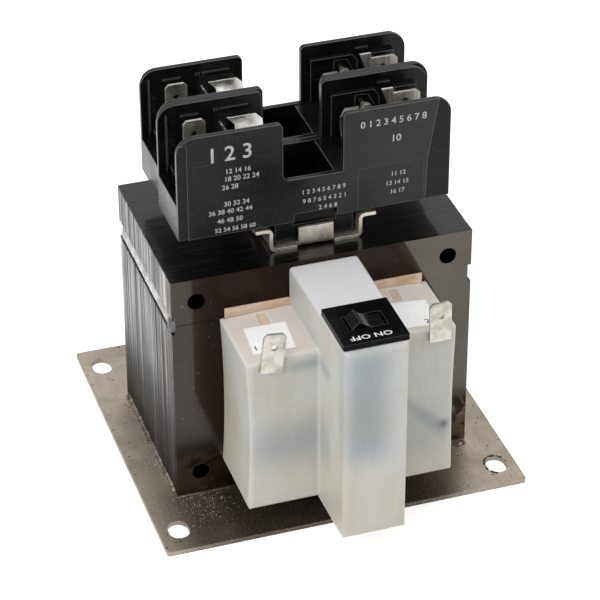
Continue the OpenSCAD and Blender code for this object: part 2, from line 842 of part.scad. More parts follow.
module rear_coil_cover() {
    color("#d3d6d8") mirror([0, 1, 0]) difference() {
        box_form(rear_depth);
        box_room(rear_depth);
        for (i = [-1.5 : 1 : 1.5])
            tab_slot(i * primary_pitch, -rear_face);
        cover_cuts();
    }
}

// Bezel with the collar that holds the rocker's pins
module protector_bezel() {
    collar_w = rocker_open_w + 2 * collar_wall;
    collar_len = rocker_open_len + 2 * collar_wall;
    color("#141414") difference() {
        union() {
            translate([0, bezel_y, bezel_z]) linear_extrude(bezel_t)
                rounded_rect(bezel_w, bezel_len, 0.5);
            translate([0, rocker_y, collar_bottom]) linear_extrude(bezel_z + eps - collar_bottom)
                square([min(collar_w, body_w), collar_len], center = true);
        }
        translate([0, rocker_y, collar_floor]) linear_extrude(bezel_top)
            square([rocker_open_w, rocker_open_len], center = true);
        translate([0, rocker_y, pivot_z]) rotate([90, 0, 0])
            cylinder(h = rocker_open_len + 2 * (pin_len - rocker_gap) + 0.2, r = pin_r + pin_gap,
                center = true);
    }
}

// Section of the rocker at rest: a ridge left of the pivot, a steep flank to its left
// and a long dished wing to its right
module rocker_section() {
    top = pivot_depth + ridge_rise;
    edge = pivot_depth - edge_drop;
    wing = [for (i = [0 : 12]) let (u = i / 12)
        [(rocker_r + ridge_offset) * u - ridge_offset, edge + (top - edge) * pow(1 - u, 2.8)]];
    intersection() {
        polygon(concat(
            [[-rocker_r, -rocker_depth], [-rocker_r, top - (rocker_r - ridge_offset)]],
            wing,
            [[rocker_r, -rocker_depth]]
        ));
        union() {
            circle(rocker_r);
            translate([-rocker_r, pivot_depth]) square([2 * rocker_r, ridge_rise + 1]);
        }
    }
}

module protector_rocker() {
    color("#1b1b1b") translate([0, rocker_y, pivot_z]) {
        along_y(rocker_len) rocker_section();
        rotate([90, 0, 0]) cylinder(h = rocker_len + 2 * pin_len, r = pin_r, center = true);
    }
}

module protector_body() {
    color("#20262e") difference() {
        translate([0, bezel_y, body_z]) linear_extrude(body_h)
            rounded_rect(body_w, body_len, 0.8);
        for (z = [body_z + body_bore_inset, body_z + body_h - body_bore_inset])
            translate([0, bezel_y, z]) rotate([90, 0, 0])
                cylinder(h = body_len + 2, r = body_bore_r, center = true);
    }
}

// Two blades under the protector's body
module protector_terminals() {
    color("#c9b46a") for (s = [-1, 1])
        translate([0, bezel_y + s * body_len / 4, body_z - stab_len - layer_gap])
            difference() {
                translate([-tab_w / 2, -tab_t / 2, 0]) cube([tab_w, tab_t, stab_len]);
                translate([0, 0, stab_len * 0.4]) rotate([90, 0, 0])
                    cylinder(h = 3 * tab_t, r = tab_hole_r, center = true);
            }
}

// Blade outline of a quick-connect tab, from its bend at z = 0 upwards
module blade_outline(h) {
    w = tab_w / 2;
    c = tab_corner;
    difference() {
        polygon([[-w, -tab_t / 2], [w, -tab_t / 2], [w, h - c], [w - c, h], [c - w, h], [-w, h - c]]);
        translate([0, h - tab_hole_drop]) circle(tab_hole_r);
    }
}

// Secondary tab: a foot through the cover's front wall and a blade bent upwards
module cover_tab(x, lean, y, inward) {
    translate([x, y, tab_z]) {
        rotate([0, lean, 0]) along_y(tab_t) blade_outline(tab_h);
        translate([0, inward * (tab_foot + tab_standoff) / 2, 0])
            cube([tab_foot_w, tab_foot + tab_standoff, tab_t], center = true);
    }
}

module secondary_tab_left() {
    color("#cfc8b2") cover_tab(-tab_left_x, tab_left_lean, blade_y, 1);
}

module secondary_tab_right() {
    color("#cfc8b2") cover_tab(tab_right_x, tab_right_lean, blade_y, 1);
}

module primary_tabs() {
    color("#cfc8b2") for (i = [-1.5 : 1 : 1.5])
        cover_tab(i * primary_pitch, 0, rear_face + tab_standoff + tab_t / 2, -1);
}

// Tube swept along a route of hand-picked points
function unit(v) = v / norm(v);
function heading(p, i) =
    unit(p[min(i + 1, len(p) - 1)] - p[max(i - 1, 0)]);
function ring(p, i, r, n) =
    let (t = heading(p, i), u = unit(cross(t, [0.31, 0.17, 0.94])), v = cross(t, u))
    [for (k = [0 : n - 1]) p[i] + r * cos(360 * k / n) * u + r * sin(360 * k / n) * v];

module tube(p, r, n = 10) {
    m = len(p);
    sides = [for (i = [0 : m - 2], k = [0 : n - 1])
        [i * n + k, i * n + (k + 1) % n, (i + 1) * n + (k + 1) % n, (i + 1) * n + k]];
    caps = [[for (k = [n - 1 : -1 : 0]) k], [for (k = [0 : n - 1]) (m - 1) * n + k]];
    polyhedron([for (i = [0 : m - 1]) each ring(p, i, r, n)], concat(sides, caps));
}

// Bezier point on the curve of four control points
function bezier(a, b, c, d, t) =
    a * pow(1 - t, 3) + b * 3 * t * pow(1 - t, 2) + c * 3 * t * t * (1 - t) + d * pow(t, 3);

// Inner lead from the left tab's foot down to the protector's rear blade
module lead_left() {
    a = [-tab_left_x + 1, blade_y + tab_standoff + tab_foot - 1, tab_z - tab_t / 2 - lead_d / 2 - 0.1];
    d = [-1, bezel_y + body_len / 4 + lead_d / 2 + tab_t / 2 + 0.1, body_z - 5];
    b = a + [10, 8, -8];
    c = d + [-1, 14, -6];
    color("#1d2a3a") tube([for (i = [0 : 14]) bezier(a, b, c, d, i / 14)], lead_d / 2);
}

// Inner lead from the right tab's foot down to the coil
module lead_right() {
    a = [tab_right_x - 1, blade_y + tab_standoff + tab_foot - 2, tab_z - tab_t / 2 - 0.3];
    d = [4, -flange_y - lead_d / 2 - 0.4, bobbin_z + 14];
    b = a + [0, 0, -16];
    c = d + [16, -3, -6];
    color("#1d2a3a") tube([for (i = [0 : 14]) bezier(a, b, c, d, i / 14)], lead_d / 2);
}

// Paper label on the crowned top of a side box
module paper_label(x, y, turn) {
    intersection() {
        translate([x, y, cover_top - crown - 3]) rotate(turn) linear_extrude(6)
            square([label_w, label_len], center = true);
        translate([0, y, 0]) along_y(2 * label_len) difference() {
            translate([0, cover_top - crown_r]) circle(crown_r + 0.02 + label_t, $fn = fine_fn);
            translate([0, cover_top - crown_r]) circle(crown_r + 0.02, $fn = fine_fn);
        }
    }
}

module label_left() {
    color("#f4f4f2") paper_label(-label_x, -cover_back - label_left_y, label_left_turn);
}

module label_right() {
    color("#f4f4f2") paper_label(label_x, -cover_back - label_right_y, label_right_turn);
}

// Half of the rail's section, drawn as x and z above the core, with round bends
module rail_half() {
    t = rail_t;
    r = rail_bend_r;
    ch = rail_channel_w / 2;
    square([ch - t - r, t]);
    translate([ch - t, t + r]) square([t, rail_h - 2 * t - 2 * r]);
    translate([ch + r, rail_h - t]) square([rail_w / 2 - ch - r, t]);
    translate([ch - t - r, t + r]) difference() {
        circle(r + t);
        circle(r);
        translate([-5, 0]) square([10, 5]);
        translate([-5, -5]) square([5, 10]);
    }
    translate([ch + r, rail_h - t - r]) difference() {
        circle(r + t);
        circle(r);
        translate([-5, -5]) square([10, 5]);
        translate([0, -5]) square([5, 10]);
    }
}

module din_rail() {
    b = rail_bend_r;
    color("#b9b2a2") {
        translate([0, 0, core_top]) along_y(rail_len - 2 * (rail_t + b)) {
            rail_half();
            mirror([1, 0]) rail_half();
        }
        for (s = [-1, 1])
            translate([0, s * (rail_len / 2 - (rail_t + b) / 2), core_top]) along_y(rail_t + b)
                difference() {
                    union() {
                        rail_half();
                        mirror([1, 0]) rail_half();
                    }
                    translate([0, 1]) square([tongue_w + 0.8, 6], center = true);
                }
        for (s = [0, 1])
            mirror([0, s, 0]) translate([0, -rail_len / 2, core_top]) along_x(tongue_w) {
                translate([rail_t + b - eps, 0]) square([2, rail_t]);
                translate([0, rail_t + b]) square([rail_t, tongue_h - rail_t - b]);
                translate([rail_t + b, rail_t + b]) difference() {
                    circle(b + rail_t);
                    circle(b);
                    translate([-5, 0]) square([10, 5]);
                    translate([0, -5]) square([5, 10]);
                }
            }
    }
}

// Four tack welds where the rail's channel meets the core
module rail_tack_welds() {
    color("#6d675f") for (sx = [-1, 1], sy = [-1, 1])
        difference() {
            translate([sx * (rail_channel_w / 2 + 0.2), sy * (rail_len / 2 - tack_inset), core_top])
                sphere(tack_r);
            span([-core_w, -stack_d, 0], [core_w, stack_d, core_top + eps]);
            span(
                [-rail_channel_w / 2 - eps, -stack_d, 0],
                [rail_channel_w / 2 + eps, stack_d, core_top + 20]
            );
        }
}

// One tower of a module's side wall; the outer edge is at x1
module tower(x0, x1) {
    z = block_top;
    ri = corner_in_r;
    ro = corner_out_r;
    polygon([[x0, wall_z], [x0, z - ri], [x0 + ri, z], [x1 - ro, z], [x1, z - ro], [x1, wall_z]]);
    translate([x0 + ri, z - ri]) circle(ri);
    translate([x1 - ro, z - ro]) circle(ro);
}

module wall_outline() {
    end = block_len / 2;
    tower(window_right, end);
    mirror([1, 0]) tower(window_left, end);
    translate([-end, wall_z]) square([block_len, sill_h]);
    translate([-window_left, sill_z]) difference() {
        translate([-0.1, -0.1]) square([2.1, 2.1]);
        translate([2, 2]) circle(2);
    }
}

// Section of the module's base: end ledges, clip decks and the deep fuse pocket
module base_outline() {
    end = block_len / 2;
    polygon([
        [-end, wall_z], [end, wall_z], [end, ledge_z], [end - ledge_len, ledge_z],
        [end - ledge_len, deck_z], [pocket_right, deck_z], [pocket_right, wall_z + pocket_floor],
        [-window_left, wall_z + pocket_floor], [-window_left, deck_z],
        [ledge_len - end, deck_z], [ledge_len - end, ledge_z], [-end, ledge_z]
    ]);
}

// Pads and ribs moulded on a side wall's inner face, drawn against y = 0
module wall_relief() {
    rib_z = block_top - rib_drop;
    panel_top = block_top - panel_drop;
    span([-rib_break, -rib_out, rib_z - rib_h], [-rib_start, eps, rib_z]);
    span([-rib_end, -rib_out, rib_z - 1.6 * rib_h], [-rib_break - 0.6, eps, rib_z]);
    span([-side_rib_end, -rib_out, rib_z - 2 * rib_h], [-side_rib_start, eps, rib_z - rib_h]);
    span([-upright_x - rib_h / 2, -rib_out, ledge_z], [-upright_x + rib_h / 2, eps, rib_z]);
    span([ledge_rib_start, -rib_out, rib_z - rib_h], [ledge_rib_end, eps, rib_z]);
    span(
        [guard_start, -guard_out, block_top - guard_drop - guard_h],
        [guard_end, eps, block_top - guard_drop]
    );
    translate([0, eps - panel_out / 2, 0]) along_y(panel_out) difference() {
        polygon([
            [panel_start, deck_z], [panel_end, deck_z], [panel_end - 0.6, panel_top - 2],
            [panel_end - 2, panel_top], [panel_start, panel_top]
        ]);
        translate([notch_start, panel_top - notch_drop]) polygon([
            [0, 0], [0.6 * notch_w, -0.4], [0.93 * notch_w, -0.4 * notch_tall],
            [notch_w, -notch_tall], [0, -notch_tall]
        ]);
    }
}

// Shallow steps on a side wall's outer face, drawn against y = 0, cut into +Y
module panel_cut() {
    end = block_len / 2;
    translate([0, (panel_step - 1) / 2, 0]) along_y(panel_step + 1) {
        polygon([
            [end - band_w, wall_z - 1], [end - band_w + 0.6, sill_z], [end - 3.8, block_top - 1.2],
            [end - 3.4, block_top + 1], [end + 1, block_top + 1], [end + 1, wall_z - 1]
        ]);
        polygon([
            [-end - 1, wall_z - 1], [left_band_w - end, wall_z - 1],
            [left_band_w - end, block_top - 2], [-end - 1, block_top - 2]
        ]);
    }
    translate([step_start, (panel_step - 1) / 2 - 0.15, wall_z - 1 + (sill_h + 0.8) / 2])
        along_y(panel_step + 0.7)
            translate([0, -(sill_h + 0.8) / 2]) square([end - step_start - band_w - 0.8, sill_h + 0.8]);
}

// Moulded cells on the underside of the clip decks
module deck_cells(x0, x1) {
    cell_x = (x1 - x0 - 3 * cell_wall) / 2;
    cell_y = (2 * bay_y - 3 * cell_wall) / 2;
    for (i = [0, 1], j = [0, 1])
        translate([
            x0 + cell_wall + i * (cell_x + cell_wall),
            -bay_y + cell_wall + j * (cell_y + cell_wall),
            wall_z - 1
        ])
            cube([cell_x, cell_y, sill_h - deck_drop - 5]);
}

module pole_housing() {
    end = block_len / 2;
    foot_x = rail_channel_w / 2 - rail_t - slide_gap;
    foot_z = web_top + foot_gap;
    hook_x = rail_w / 2 + slide_gap;
    grip_x = rail_w / 2 - pole_shift - hook_grip;
    hook_y = hook_w / 2;
    hook_z = rail_top - hook_drop;
    difference() {
        union() {
            for (s = [-1, 1])
                translate([0, s * (pole_w - side_t) / 2, 0]) along_y(side_t) wall_outline();
            along_y(pole_w - side_t) base_outline();
            translate([0, bay_y, 0]) wall_relief();
            translate([0, -bay_y, 0]) mirror([0, 1, 0]) wall_relief();
            along_y(2 * foot_y) polygon([
                [-foot_x, wall_z + eps], [-foot_x, foot_z + rail_bend_r], [rail_bend_r - foot_x, foot_z],
                [foot_x - rail_bend_r, foot_z], [foot_x, foot_z + rail_bend_r], [foot_x, wall_z + eps]
            ]);
            span([-hook_x - hook_t, -foot_y, rail_top + layer_gap], [hook_x + hook_t, foot_y, wall_z + eps]);
            for (s = [0, 1])
                mirror([s, 0, 0]) {
                    span([hook_x, -hook_y, hook_z], [hook_x + hook_t, hook_y, wall_z + eps]);
                    span([grip_x, -hook_y, hook_z], [hook_x + hook_t, hook_y, rail_top - rail_t - 0.1]);
                }
        }
        translate([0, -pole_w / 2, 0]) panel_cut();
        translate([0, pole_w / 2, 0]) mirror([0, 1, 0]) panel_cut();
        for (s = [-1, 1])
            translate([-tongue_w / 2 - slide_gap, s * pole_w / 2 - 2, wall_z - 2])
                cube([tongue_w + 2 * slide_gap, 4, 4.4]);
        deck_cells(cell_start, end - ledge_len);
        mirror([1, 0, 0]) deck_cells(cell_start, end - ledge_len);
        for (x = [left_screw_x, right_screw_x])
            translate([x, screw_y, deck_z - screw_len - 1])
                cylinder(h = screw_len + 3, r = screw_r + screw_gap);
    }
}

// Places a module's piece: -1 is the front module, 1 the rear one
module at_pole(s) {
    translate([s > 0 ? pole_shift : 0, s * pole_y, 0]) children();
}

module pole_housing_front() {
    color("#1d1d1e") at_pole(-1) pole_housing();
}

module pole_housing_rear() {
    color("#1d1d1e") at_pole(1) pole_housing();
}

// Terminal strip on the deck with a hole for the screw, from x0 to x1
module strip(x0, x1, screw_x) {
    translate([0, 0, deck_z + layer_gap]) linear_extrude(strip_t) difference() {
        translate([x0, screw_y - washer_r - 0.2])
            square([x1 - x0, blade_back + tab_t / 2 - screw_y + washer_r + 0.2]);
        translate([screw_x, screw_y]) circle(screw_r + 0.2);
    }
}

module left_terminal() {
    strip(-blade_left_x - tab_w / 2 - 0.6, -clip_left_x + clip_len / 2, left_screw_x);
    w = tab_w / 2;
    c = tab_corner;
    translate([-blade_left_x, blade_back, 0]) along_y(tab_t) difference() {
        polygon([
            [-w, strip_top - eps], [w, strip_top - eps], [w, blade_top - c],
            [w - c, blade_top], [c - w, blade_top], [-w, blade_top - c]
        ]);
        translate([0, blade_top - tab_hole_drop]) circle(tab_hole_r);
    }
}

module right_terminal() {
    strip(clip_right_x - clip_right_len / 2, blade_right_end + 0.4, right_screw_x);
    e = blade_right_end;
    c = tab_corner;
    left = e - right_blade_w;
    step_x = e - right_step_w;
    step_z = blade_top - right_step_h;
    translate([0, blade_back, 0]) along_y(tab_t) difference() {
        polygon([
            [left + 2, strip_top - eps], [left + 1.8, blade_top - 5], [left, blade_top],
            [step_x, blade_top], [step_x, step_z], [e - c, step_z],
            [e, step_z - c], [e, strip_top - eps]
        ]);
        translate([(step_x + e) / 2 - 0.4, step_z - tab_hole_drop + 1.2]) circle(tab_hole_r);
    }
}

module left_terminal_front() {
    color("#b9b5ab") at_pole(-1) left_terminal();
}

module left_terminal_rear() {
    color("#b9b5ab") at_pole(1) left_terminal();
}

module right_terminal_front() {
    color("#b9b5ab") at_pole(-1) right_terminal();
}

module right_terminal_rear() {
    color("#b9b5ab") at_pole(1) right_terminal();
}

// Section of a fuse clip: a base, two leaves bent round the ferrule up to the angle a1 and
// flared lips
module clip_section(h, a1) {
    r = ferrule_d / 2 + 0.1;
    z0 = strip_top + layer_gap;
    a0 = -62;
    neck = [r * cos(a1), fuse_z + r * sin(a1)];
    lip = [neck[0] + lip_flare, z0 + h];
    translate([-r * cos(a0) - clip_t, z0]) square([2 * (r * cos(a0) + clip_t), clip_t]);
    for (s = [0, 1])
        mirror([s, 0]) {
            polygon(concat(
                arc_points(0, fuse_z, r + clip_t, a0, a1, 14),
                [[lip[0] + clip_t * 0.9, lip[1]], lip],
                arc_points(0, fuse_z, r, a1, a0, 14)
            ));
            translate([r * cos(a0), z0]) square([clip_t * 1.1, fuse_z + r * sin(a0) + clip_t - z0]);
        }
}

// Front outline of a clip's leaves, its outer end towards -X: the lips overhang at that
// end and their inner corner is cut off
module leaf_outline(length, h) {
    z0 = strip_top + layer_gap;
    x0 = -length / 2;
    x1 = length / 2;
    over = lip_over * length / clip_len;
    polygon([
        [x0, z0 - 1], [x0, z0 + clip_t], [x0 + over, z0 + clip_t], [x0 + over, z0 + h - over],
        [x0, z0 + h], [x1 - lip_cut, z0 + h], [x1, z0 + h - lip_cut], [x1, z0 - 1]
    ]);
}

// Fuse clip with its outer end towards -X and two end stops there; wrap is the leaves' angle
// round the ferrule and flare the length of the stops' flared tops
module fuse_clip(length, h, wrap, upright, flare) {
    z0 = strip_top + layer_gap;
    stop_x = -length / 2 - stop_gap;
    reach = stop_flare * flare / stop_flare_h;
    intersection() {
        along_x(length) clip_section(h, wrap);
        along_y(2 * pole_w) leaf_outline(length, h);
    }
    for (s = [-1, 1])
        translate([0, s * (ferrule_d / 4 + stop_w / 4), 0]) along_y(stop_w) {
            polygon([
                [stop_x, z0], [stop_x, z0 + upright], [stop_x - reach, z0 + upright + flare],
                [stop_x - reach - clip_t, z0 + upright + flare], [stop_x - clip_t, z0 + upright],
                [stop_x - clip_t, z0]
            ]);
            translate([stop_x - clip_t / 2, z0]) square([stop_gap + clip_t + 1, clip_t]);
        }
}

module left_clip() {
    translate([-clip_left_x, 0, 0])
        fuse_clip(clip_len, clip_left_h, clip_left_wrap, stop_h, stop_flare_h);
}

module right_clip() {
    translate([clip_right_x, 0, 0]) mirror([1, 0, 0])
        fuse_clip(clip_right_len, clip_right_h, clip_right_wrap, stop_right_h, clip_t);
}

module left_clip_front() {
    color("#d8d6cf") at_pole(-1) left_clip();
}

module left_clip_rear() {
    color("#d8d6cf") at_pole(1) left_clip();
}

module right_clip_front() {
    color("#d8d6cf") at_pole(-1) right_clip();
}

module right_clip_rear() {
    color("#d8d6cf") at_pole(1) right_clip();
}

// Terminal screw: pan head with a slot, clamp washer and shank
module terminal_screw(x) {
    head_top = washer_t + screw_head_h;
    translate([x, screw_y, strip_top + layer_gap]) difference() {
        union() {
            cylinder(h = washer_t, r = washer_r);
            cylinder(h = head_top, r = screw_head_r);
            translate([0, 0, -screw_len]) cylinder(h = screw_len + washer_t, r = screw_r);
        }
        translate([0, 0, head_top])
            cube([3 * screw_head_r, driver_slot_w, 2 * driver_slot_depth], center = true);
    }
}

module terminal_screws() {
    terminal_screw(left_screw_x);
    terminal_screw(right_screw_x);
}

module terminal_screws_front() {
    color("#c4c0b4") at_pole(-1) terminal_screws();
}

module terminal_screws_rear() {
    color("#c4c0b4") at_pole(1) terminal_screws();
}

// Small round-headed rivet in the relief of the module's rear wall
module clip_rivet() {
    translate([rivet_x, bay_y - eps, block_top - rivet_drop]) rotate([90, 0, 0]) {
        cylinder(h = rivet_len, r = rivet_r);
        translate([0, 0, rivet_len - eps]) cylinder(h = rivet_head_t, r = rivet_head_r);
    }
}

module clip_rivet_front() {
    color("#a8a49a") at_pole(-1) clip_rivet();
}

module clip_rivet_rear() {
    color("#a8a49a") at_pole(1) clip_rivet();
}

base_plate();
base_welds();
e_lamination_stack();
i_lamination_stack();
core_weld_left();
core_weld_right();
bobbin();
primary_winding();
layer_insulation();
secondary_winding();
coil_wrap();
front_pressboard();
rear_pressboard();
front_coil_cover();
rear_coil_cover();
protector_bezel();
protector_rocker();
protector_body();
protector_terminals();
secondary_tab_left();
secondary_tab_right();
lead_left();
lead_right();
primary_tabs();
label_left();
label_right();
din_rail();
rail_tack_welds();
pole_housing_front();
pole_housing_rear();
left_terminal_front();
left_terminal_rear();
right_terminal_front();
right_terminal_rear();
left_clip_front();
left_clip_rear();
right_clip_front();
right_clip_rear();
terminal_screws_front();
terminal_screws_rear();
clip_rivet_front();
clip_rivet_rear();
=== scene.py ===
# %% [markdown]
# A control transformer with a two-pole fuse block.
# This lesson dresses a finished set of solids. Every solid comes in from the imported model, already
# at its real size and place, in metres. The cells below give each one the surface of the real
# material, add the few things that are too fine to be solids, such as print and weld spatter, and
# light it all for a plain product picture.

# %% Load the solids
import math
import random

import bmesh
import bpy
from mathutils import Matrix, Vector


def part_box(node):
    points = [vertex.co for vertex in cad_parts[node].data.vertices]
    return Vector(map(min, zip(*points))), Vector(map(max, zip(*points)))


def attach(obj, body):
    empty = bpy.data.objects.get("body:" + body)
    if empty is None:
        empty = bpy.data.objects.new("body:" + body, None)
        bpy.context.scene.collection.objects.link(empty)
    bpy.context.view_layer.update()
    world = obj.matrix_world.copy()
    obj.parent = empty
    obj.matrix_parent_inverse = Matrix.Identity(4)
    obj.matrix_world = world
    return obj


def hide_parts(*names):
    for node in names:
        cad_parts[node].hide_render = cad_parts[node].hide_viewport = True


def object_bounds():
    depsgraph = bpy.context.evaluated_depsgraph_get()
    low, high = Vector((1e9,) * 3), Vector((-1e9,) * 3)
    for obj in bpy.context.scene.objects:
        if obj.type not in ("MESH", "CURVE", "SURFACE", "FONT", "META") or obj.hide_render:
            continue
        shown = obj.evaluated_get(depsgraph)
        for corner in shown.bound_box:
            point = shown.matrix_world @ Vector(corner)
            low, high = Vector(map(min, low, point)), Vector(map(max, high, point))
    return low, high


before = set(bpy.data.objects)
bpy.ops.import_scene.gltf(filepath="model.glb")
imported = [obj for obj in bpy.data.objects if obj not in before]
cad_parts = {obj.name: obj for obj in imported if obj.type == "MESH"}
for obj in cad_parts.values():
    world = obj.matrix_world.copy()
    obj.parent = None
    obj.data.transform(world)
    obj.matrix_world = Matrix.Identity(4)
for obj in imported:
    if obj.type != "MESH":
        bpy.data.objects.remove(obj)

MM = 0.001


def corners(box):
    """A box's lowest and highest corner as vectors."""
    return [Vector(corner) for corner in box]


def in_mm(vector):
    """Metres as rounded millimetres, for the printed notes."""
    return [round(value / MM, 1) for value in vector]


cad_low, cad_high = corners(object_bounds())
print("solids:", len(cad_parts), "size in mm:", in_mm(cad_high - cad_low))

# %% [markdown]
# The camera stands where the photographer stood: a little to the left, about 33 degrees up, and far
# away through a long lens, so that the vertical edges of the core stay almost parallel. The lens
# was worked out for a square picture on a sensor 36 mm wide.

# %% Camera
SENSOR_MM = 36.0
LENS_MM = 158.48
AZIMUTH = math.radians(-18.22)
ELEVATION = math.radians(33.45)
ROLL = math.radians(0.18)
AIM = Vector((34.48, 98.24, -26.56)) * MM
DISTANCE = 892.11 * MM

forward = Vector((
    -math.sin(AZIMUTH) * math.cos(ELEVATION),
    math.cos(AZIMUTH) * math.cos(ELEVATION),
    -math.sin(ELEVATION),
))
upright = forward.to_track_quat("-Z", "Y").to_matrix().to_4x4()
camera = bpy.data.objects.new("camera", bpy.data.cameras.new("camera"))
camera.data.sensor_width = SENSOR_MM
camera.data.lens = LENS_MM
camera.matrix_world = (Matrix.Translation(AIM - forward * DISTANCE) @ upright
                       @ Matrix.Rotation(-ROLL, 4, "Z"))
scene = bpy.context.scene
scene.collection.objects.link(camera)
scene.camera = camera
scene.view_settings.view_transform = "Standard"
print("camera at mm:", in_mm(camera.location))

# %% [markdown]
# Colours are written the way a picture editor shows them, as sRGB hex values. Shaders count in
# linear light, so one function turns the one into the other.


# %% Colour
def linear(hex_colour):
    """Linear RGBA of an sRGB hex colour such as "#c9a06c"."""
    channels = [int(hex_colour[i:i + 2], 16) / 255 for i in (1, 3, 5)]
    return (*[c / 12.92 if c <= 0.04045 else ((c + 0.055) / 1.055) ** 2.4 for c in channels], 1.0)


print("mid grey in linear light:", round(linear("#808080")[0], 3))

# %% [markdown]
# A material is a small network of nodes. `feed` fills a node's inputs, each with a plain value, a
# hex colour, or what another node gives. `add_node` adds any node with its settings and feeds it,
# so one call can stand inside another, the way the network is wired.


# %% One function for nodes
def feed(tree, node, inputs):
    """Fills inputs by name or number with a value, a hex colour, a socket, or another node."""
    for key, value in inputs.items():
        if isinstance(value, bpy.types.Node):
            value = next(socket for socket in value.outputs if socket.enabled)
        if isinstance(value, bpy.types.NodeSocket):
            tree.links.new(value, node.inputs[key])
        else:
            node.inputs[key].default_value = linear(value) if isinstance(value, str) else value


def add_node(tree, kind, inputs=None, **settings):
    """Adds one shader node, sets its properties by name and feeds its inputs."""
    node = tree.nodes.new("ShaderNode" + kind)
    for name, value in settings.items():
        setattr(node, name, value)
    feed(tree, node, inputs or {})
    return node


print("kinds of shader node to choose from:",
      sum(kind.startswith("ShaderNode") for kind in dir(bpy.types)))

# %% [markdown]
# Every finish starts alike: a new material, with what is the same all over set on the shader
# itself. Patches are noise whose blotches have a real size in millimetres. Painted pictures would
# need the solids unwrapped and would blur close up, and noise in real sizes needs neither. A coat
# lays one colour, or one roughness, over another where a mask says so, as varnish lies on steel.


# %% Start, patches and coats
def begin(name, **surface):
    """A new material with its constants set; gives it, its tree, its shader and a place."""
    material = bpy.data.materials.new(name)
    material.use_nodes = True
    tree = material.node_tree
    shader = tree.nodes["Principled BSDF"]
    feed(tree, shader, {socket.replace("_", " "): value for socket, value in surface.items()})
    return material, tree, shader, add_node(tree, "TexCoord").outputs["Object"]


def patches(tree, place, size_mm, low=0.0, high=1.0, detail=3.0, warp=0.0):
    """Noise with blotches of size_mm along X, Y and Z; its low becomes 0 and its high 1."""
    noise = add_node(tree, "TexNoise", {
        "Vector": add_node(tree, "Mapping", {
            "Vector": place, "Scale": [1 / (size * MM) for size in size_mm]}),
        "Scale": 1.0, "Detail": detail, "Distortion": warp})
    return add_node(tree, "MapRange", {"Value": noise, "From Min": low, "From Max": high})


def coats(tree, base, *layers):
    """Lays colours, or numbers such as roughness, over a base: a mask, a value, a strength."""
    kind, below, above = ("FLOAT", 2, 3) if isinstance(base, float) else ("RGBA", 6, 7)
    for mask, over, strength in layers:
        share = add_node(tree, "Math", {0: mask, 1: strength}, operation="MULTIPLY", use_clamp=True)
        base = add_node(tree, "Mix", {0: share, below: base, above: over}, data_type=kind)
    return base


print("blotches of 5 mm come", round(1 / (5 * MM)), "to the metre")

# %% [markdown]
# Three helpers say where on the object something is. A field is a soft-edged box in the object's
# own axes, for a stain or a shadow at a known place, and it can be laid within another mask.
# `turned` picks the faces that look one way. An edge mask finds outer edges, because a moulding
# thins, shines and wears there. A fourth, relief, rounds the edges to the eye and presses a pattern
# in to a real depth.


# %% Places, edges and relief
FLAT_DOT, SHARP_DOT = 0.995, 0.8


def field(tree, axes, spans, blur_mm, within=1.0):
    """1 inside the spans and 0 outside, with a soft border; spans are {axis: (low, high)} in mm."""
    mask = within
    for axis, (low, high) in spans.items():
        middle, reach = (low + high) / 2 * MM, (high - low) / 2 * MM
        off = add_node(tree, "Math", {0: axes[axis], 1: middle}, operation="SUBTRACT")
        inside = add_node(tree, "MapRange", {
            "Value": add_node(tree, "Math", {0: off}, operation="ABSOLUTE"),
            "From Min": reach - blur_mm * MM, "From Max": reach + blur_mm * MM,
            "To Min": 1.0, "To Max": 0.0}, interpolation_type="SMOOTHSTEP")
        mask = add_node(tree, "Math", {0: inside, 1: mask}, operation="MULTIPLY")
    return mask


def turned(tree, axis, low, high, both_ways=False):
    """How far faces look along an axis: 0 at low and 1 at high, where 1 is straight along it."""
    toward = add_node(tree, "SeparateXYZ", {
        0: add_node(tree, "TexCoord").outputs["Normal"]}).outputs[axis]
    if both_ways:
        toward = add_node(tree, "Math", {0: toward}, operation="ABSOLUTE")
    return add_node(tree, "MapRange", {"Value": toward, "From Min": low, "From Max": high})


def edge_mask(tree, radius_mm):
    """1 along sharp edges and 0 on flat faces, as wide as the radius."""
    agree = add_node(tree, "VectorMath", {
        0: add_node(tree, "Bevel", {"Radius": radius_mm * MM}, samples=6),
        1: add_node(tree, "NewGeometry").outputs["True Normal"],
    }, operation="DOT_PRODUCT").outputs["Value"]
    return add_node(tree, "MapRange", {"Value": agree, "From Min": FLAT_DOT, "From Max": SHARP_DOT})


def relief(tree, height, depth_mm, edge_mm=0.2):
    """A normal with rounded edges and a pattern pressed in to a real depth."""
    return add_node(tree, "Bump", {
        "Height": height, "Distance": depth_mm * MM, "Strength": 1.0,
        "Normal": add_node(tree, "Bevel", {"Radius": edge_mm * MM}, samples=4)})


print("an edge counts from", round(math.degrees(math.acos(FLAT_DOT)), 1), "degrees of turn")

# %% [markdown]
# Moulded natural polypropylene is milky: light goes in, spreads and comes out again. What stands
# close behind the wall shows as a soft bluish shadow. Deep light paths would draw that too, but
# slowly and with grain. So the shadows of the inner body and of the two leads, and a haze and a
# pool of shade in the boxes, are painted on the wall as soft fields, at the places where those
# parts come near it.

# %% What shows through the milky wall
LEAD_DROP = 1.05


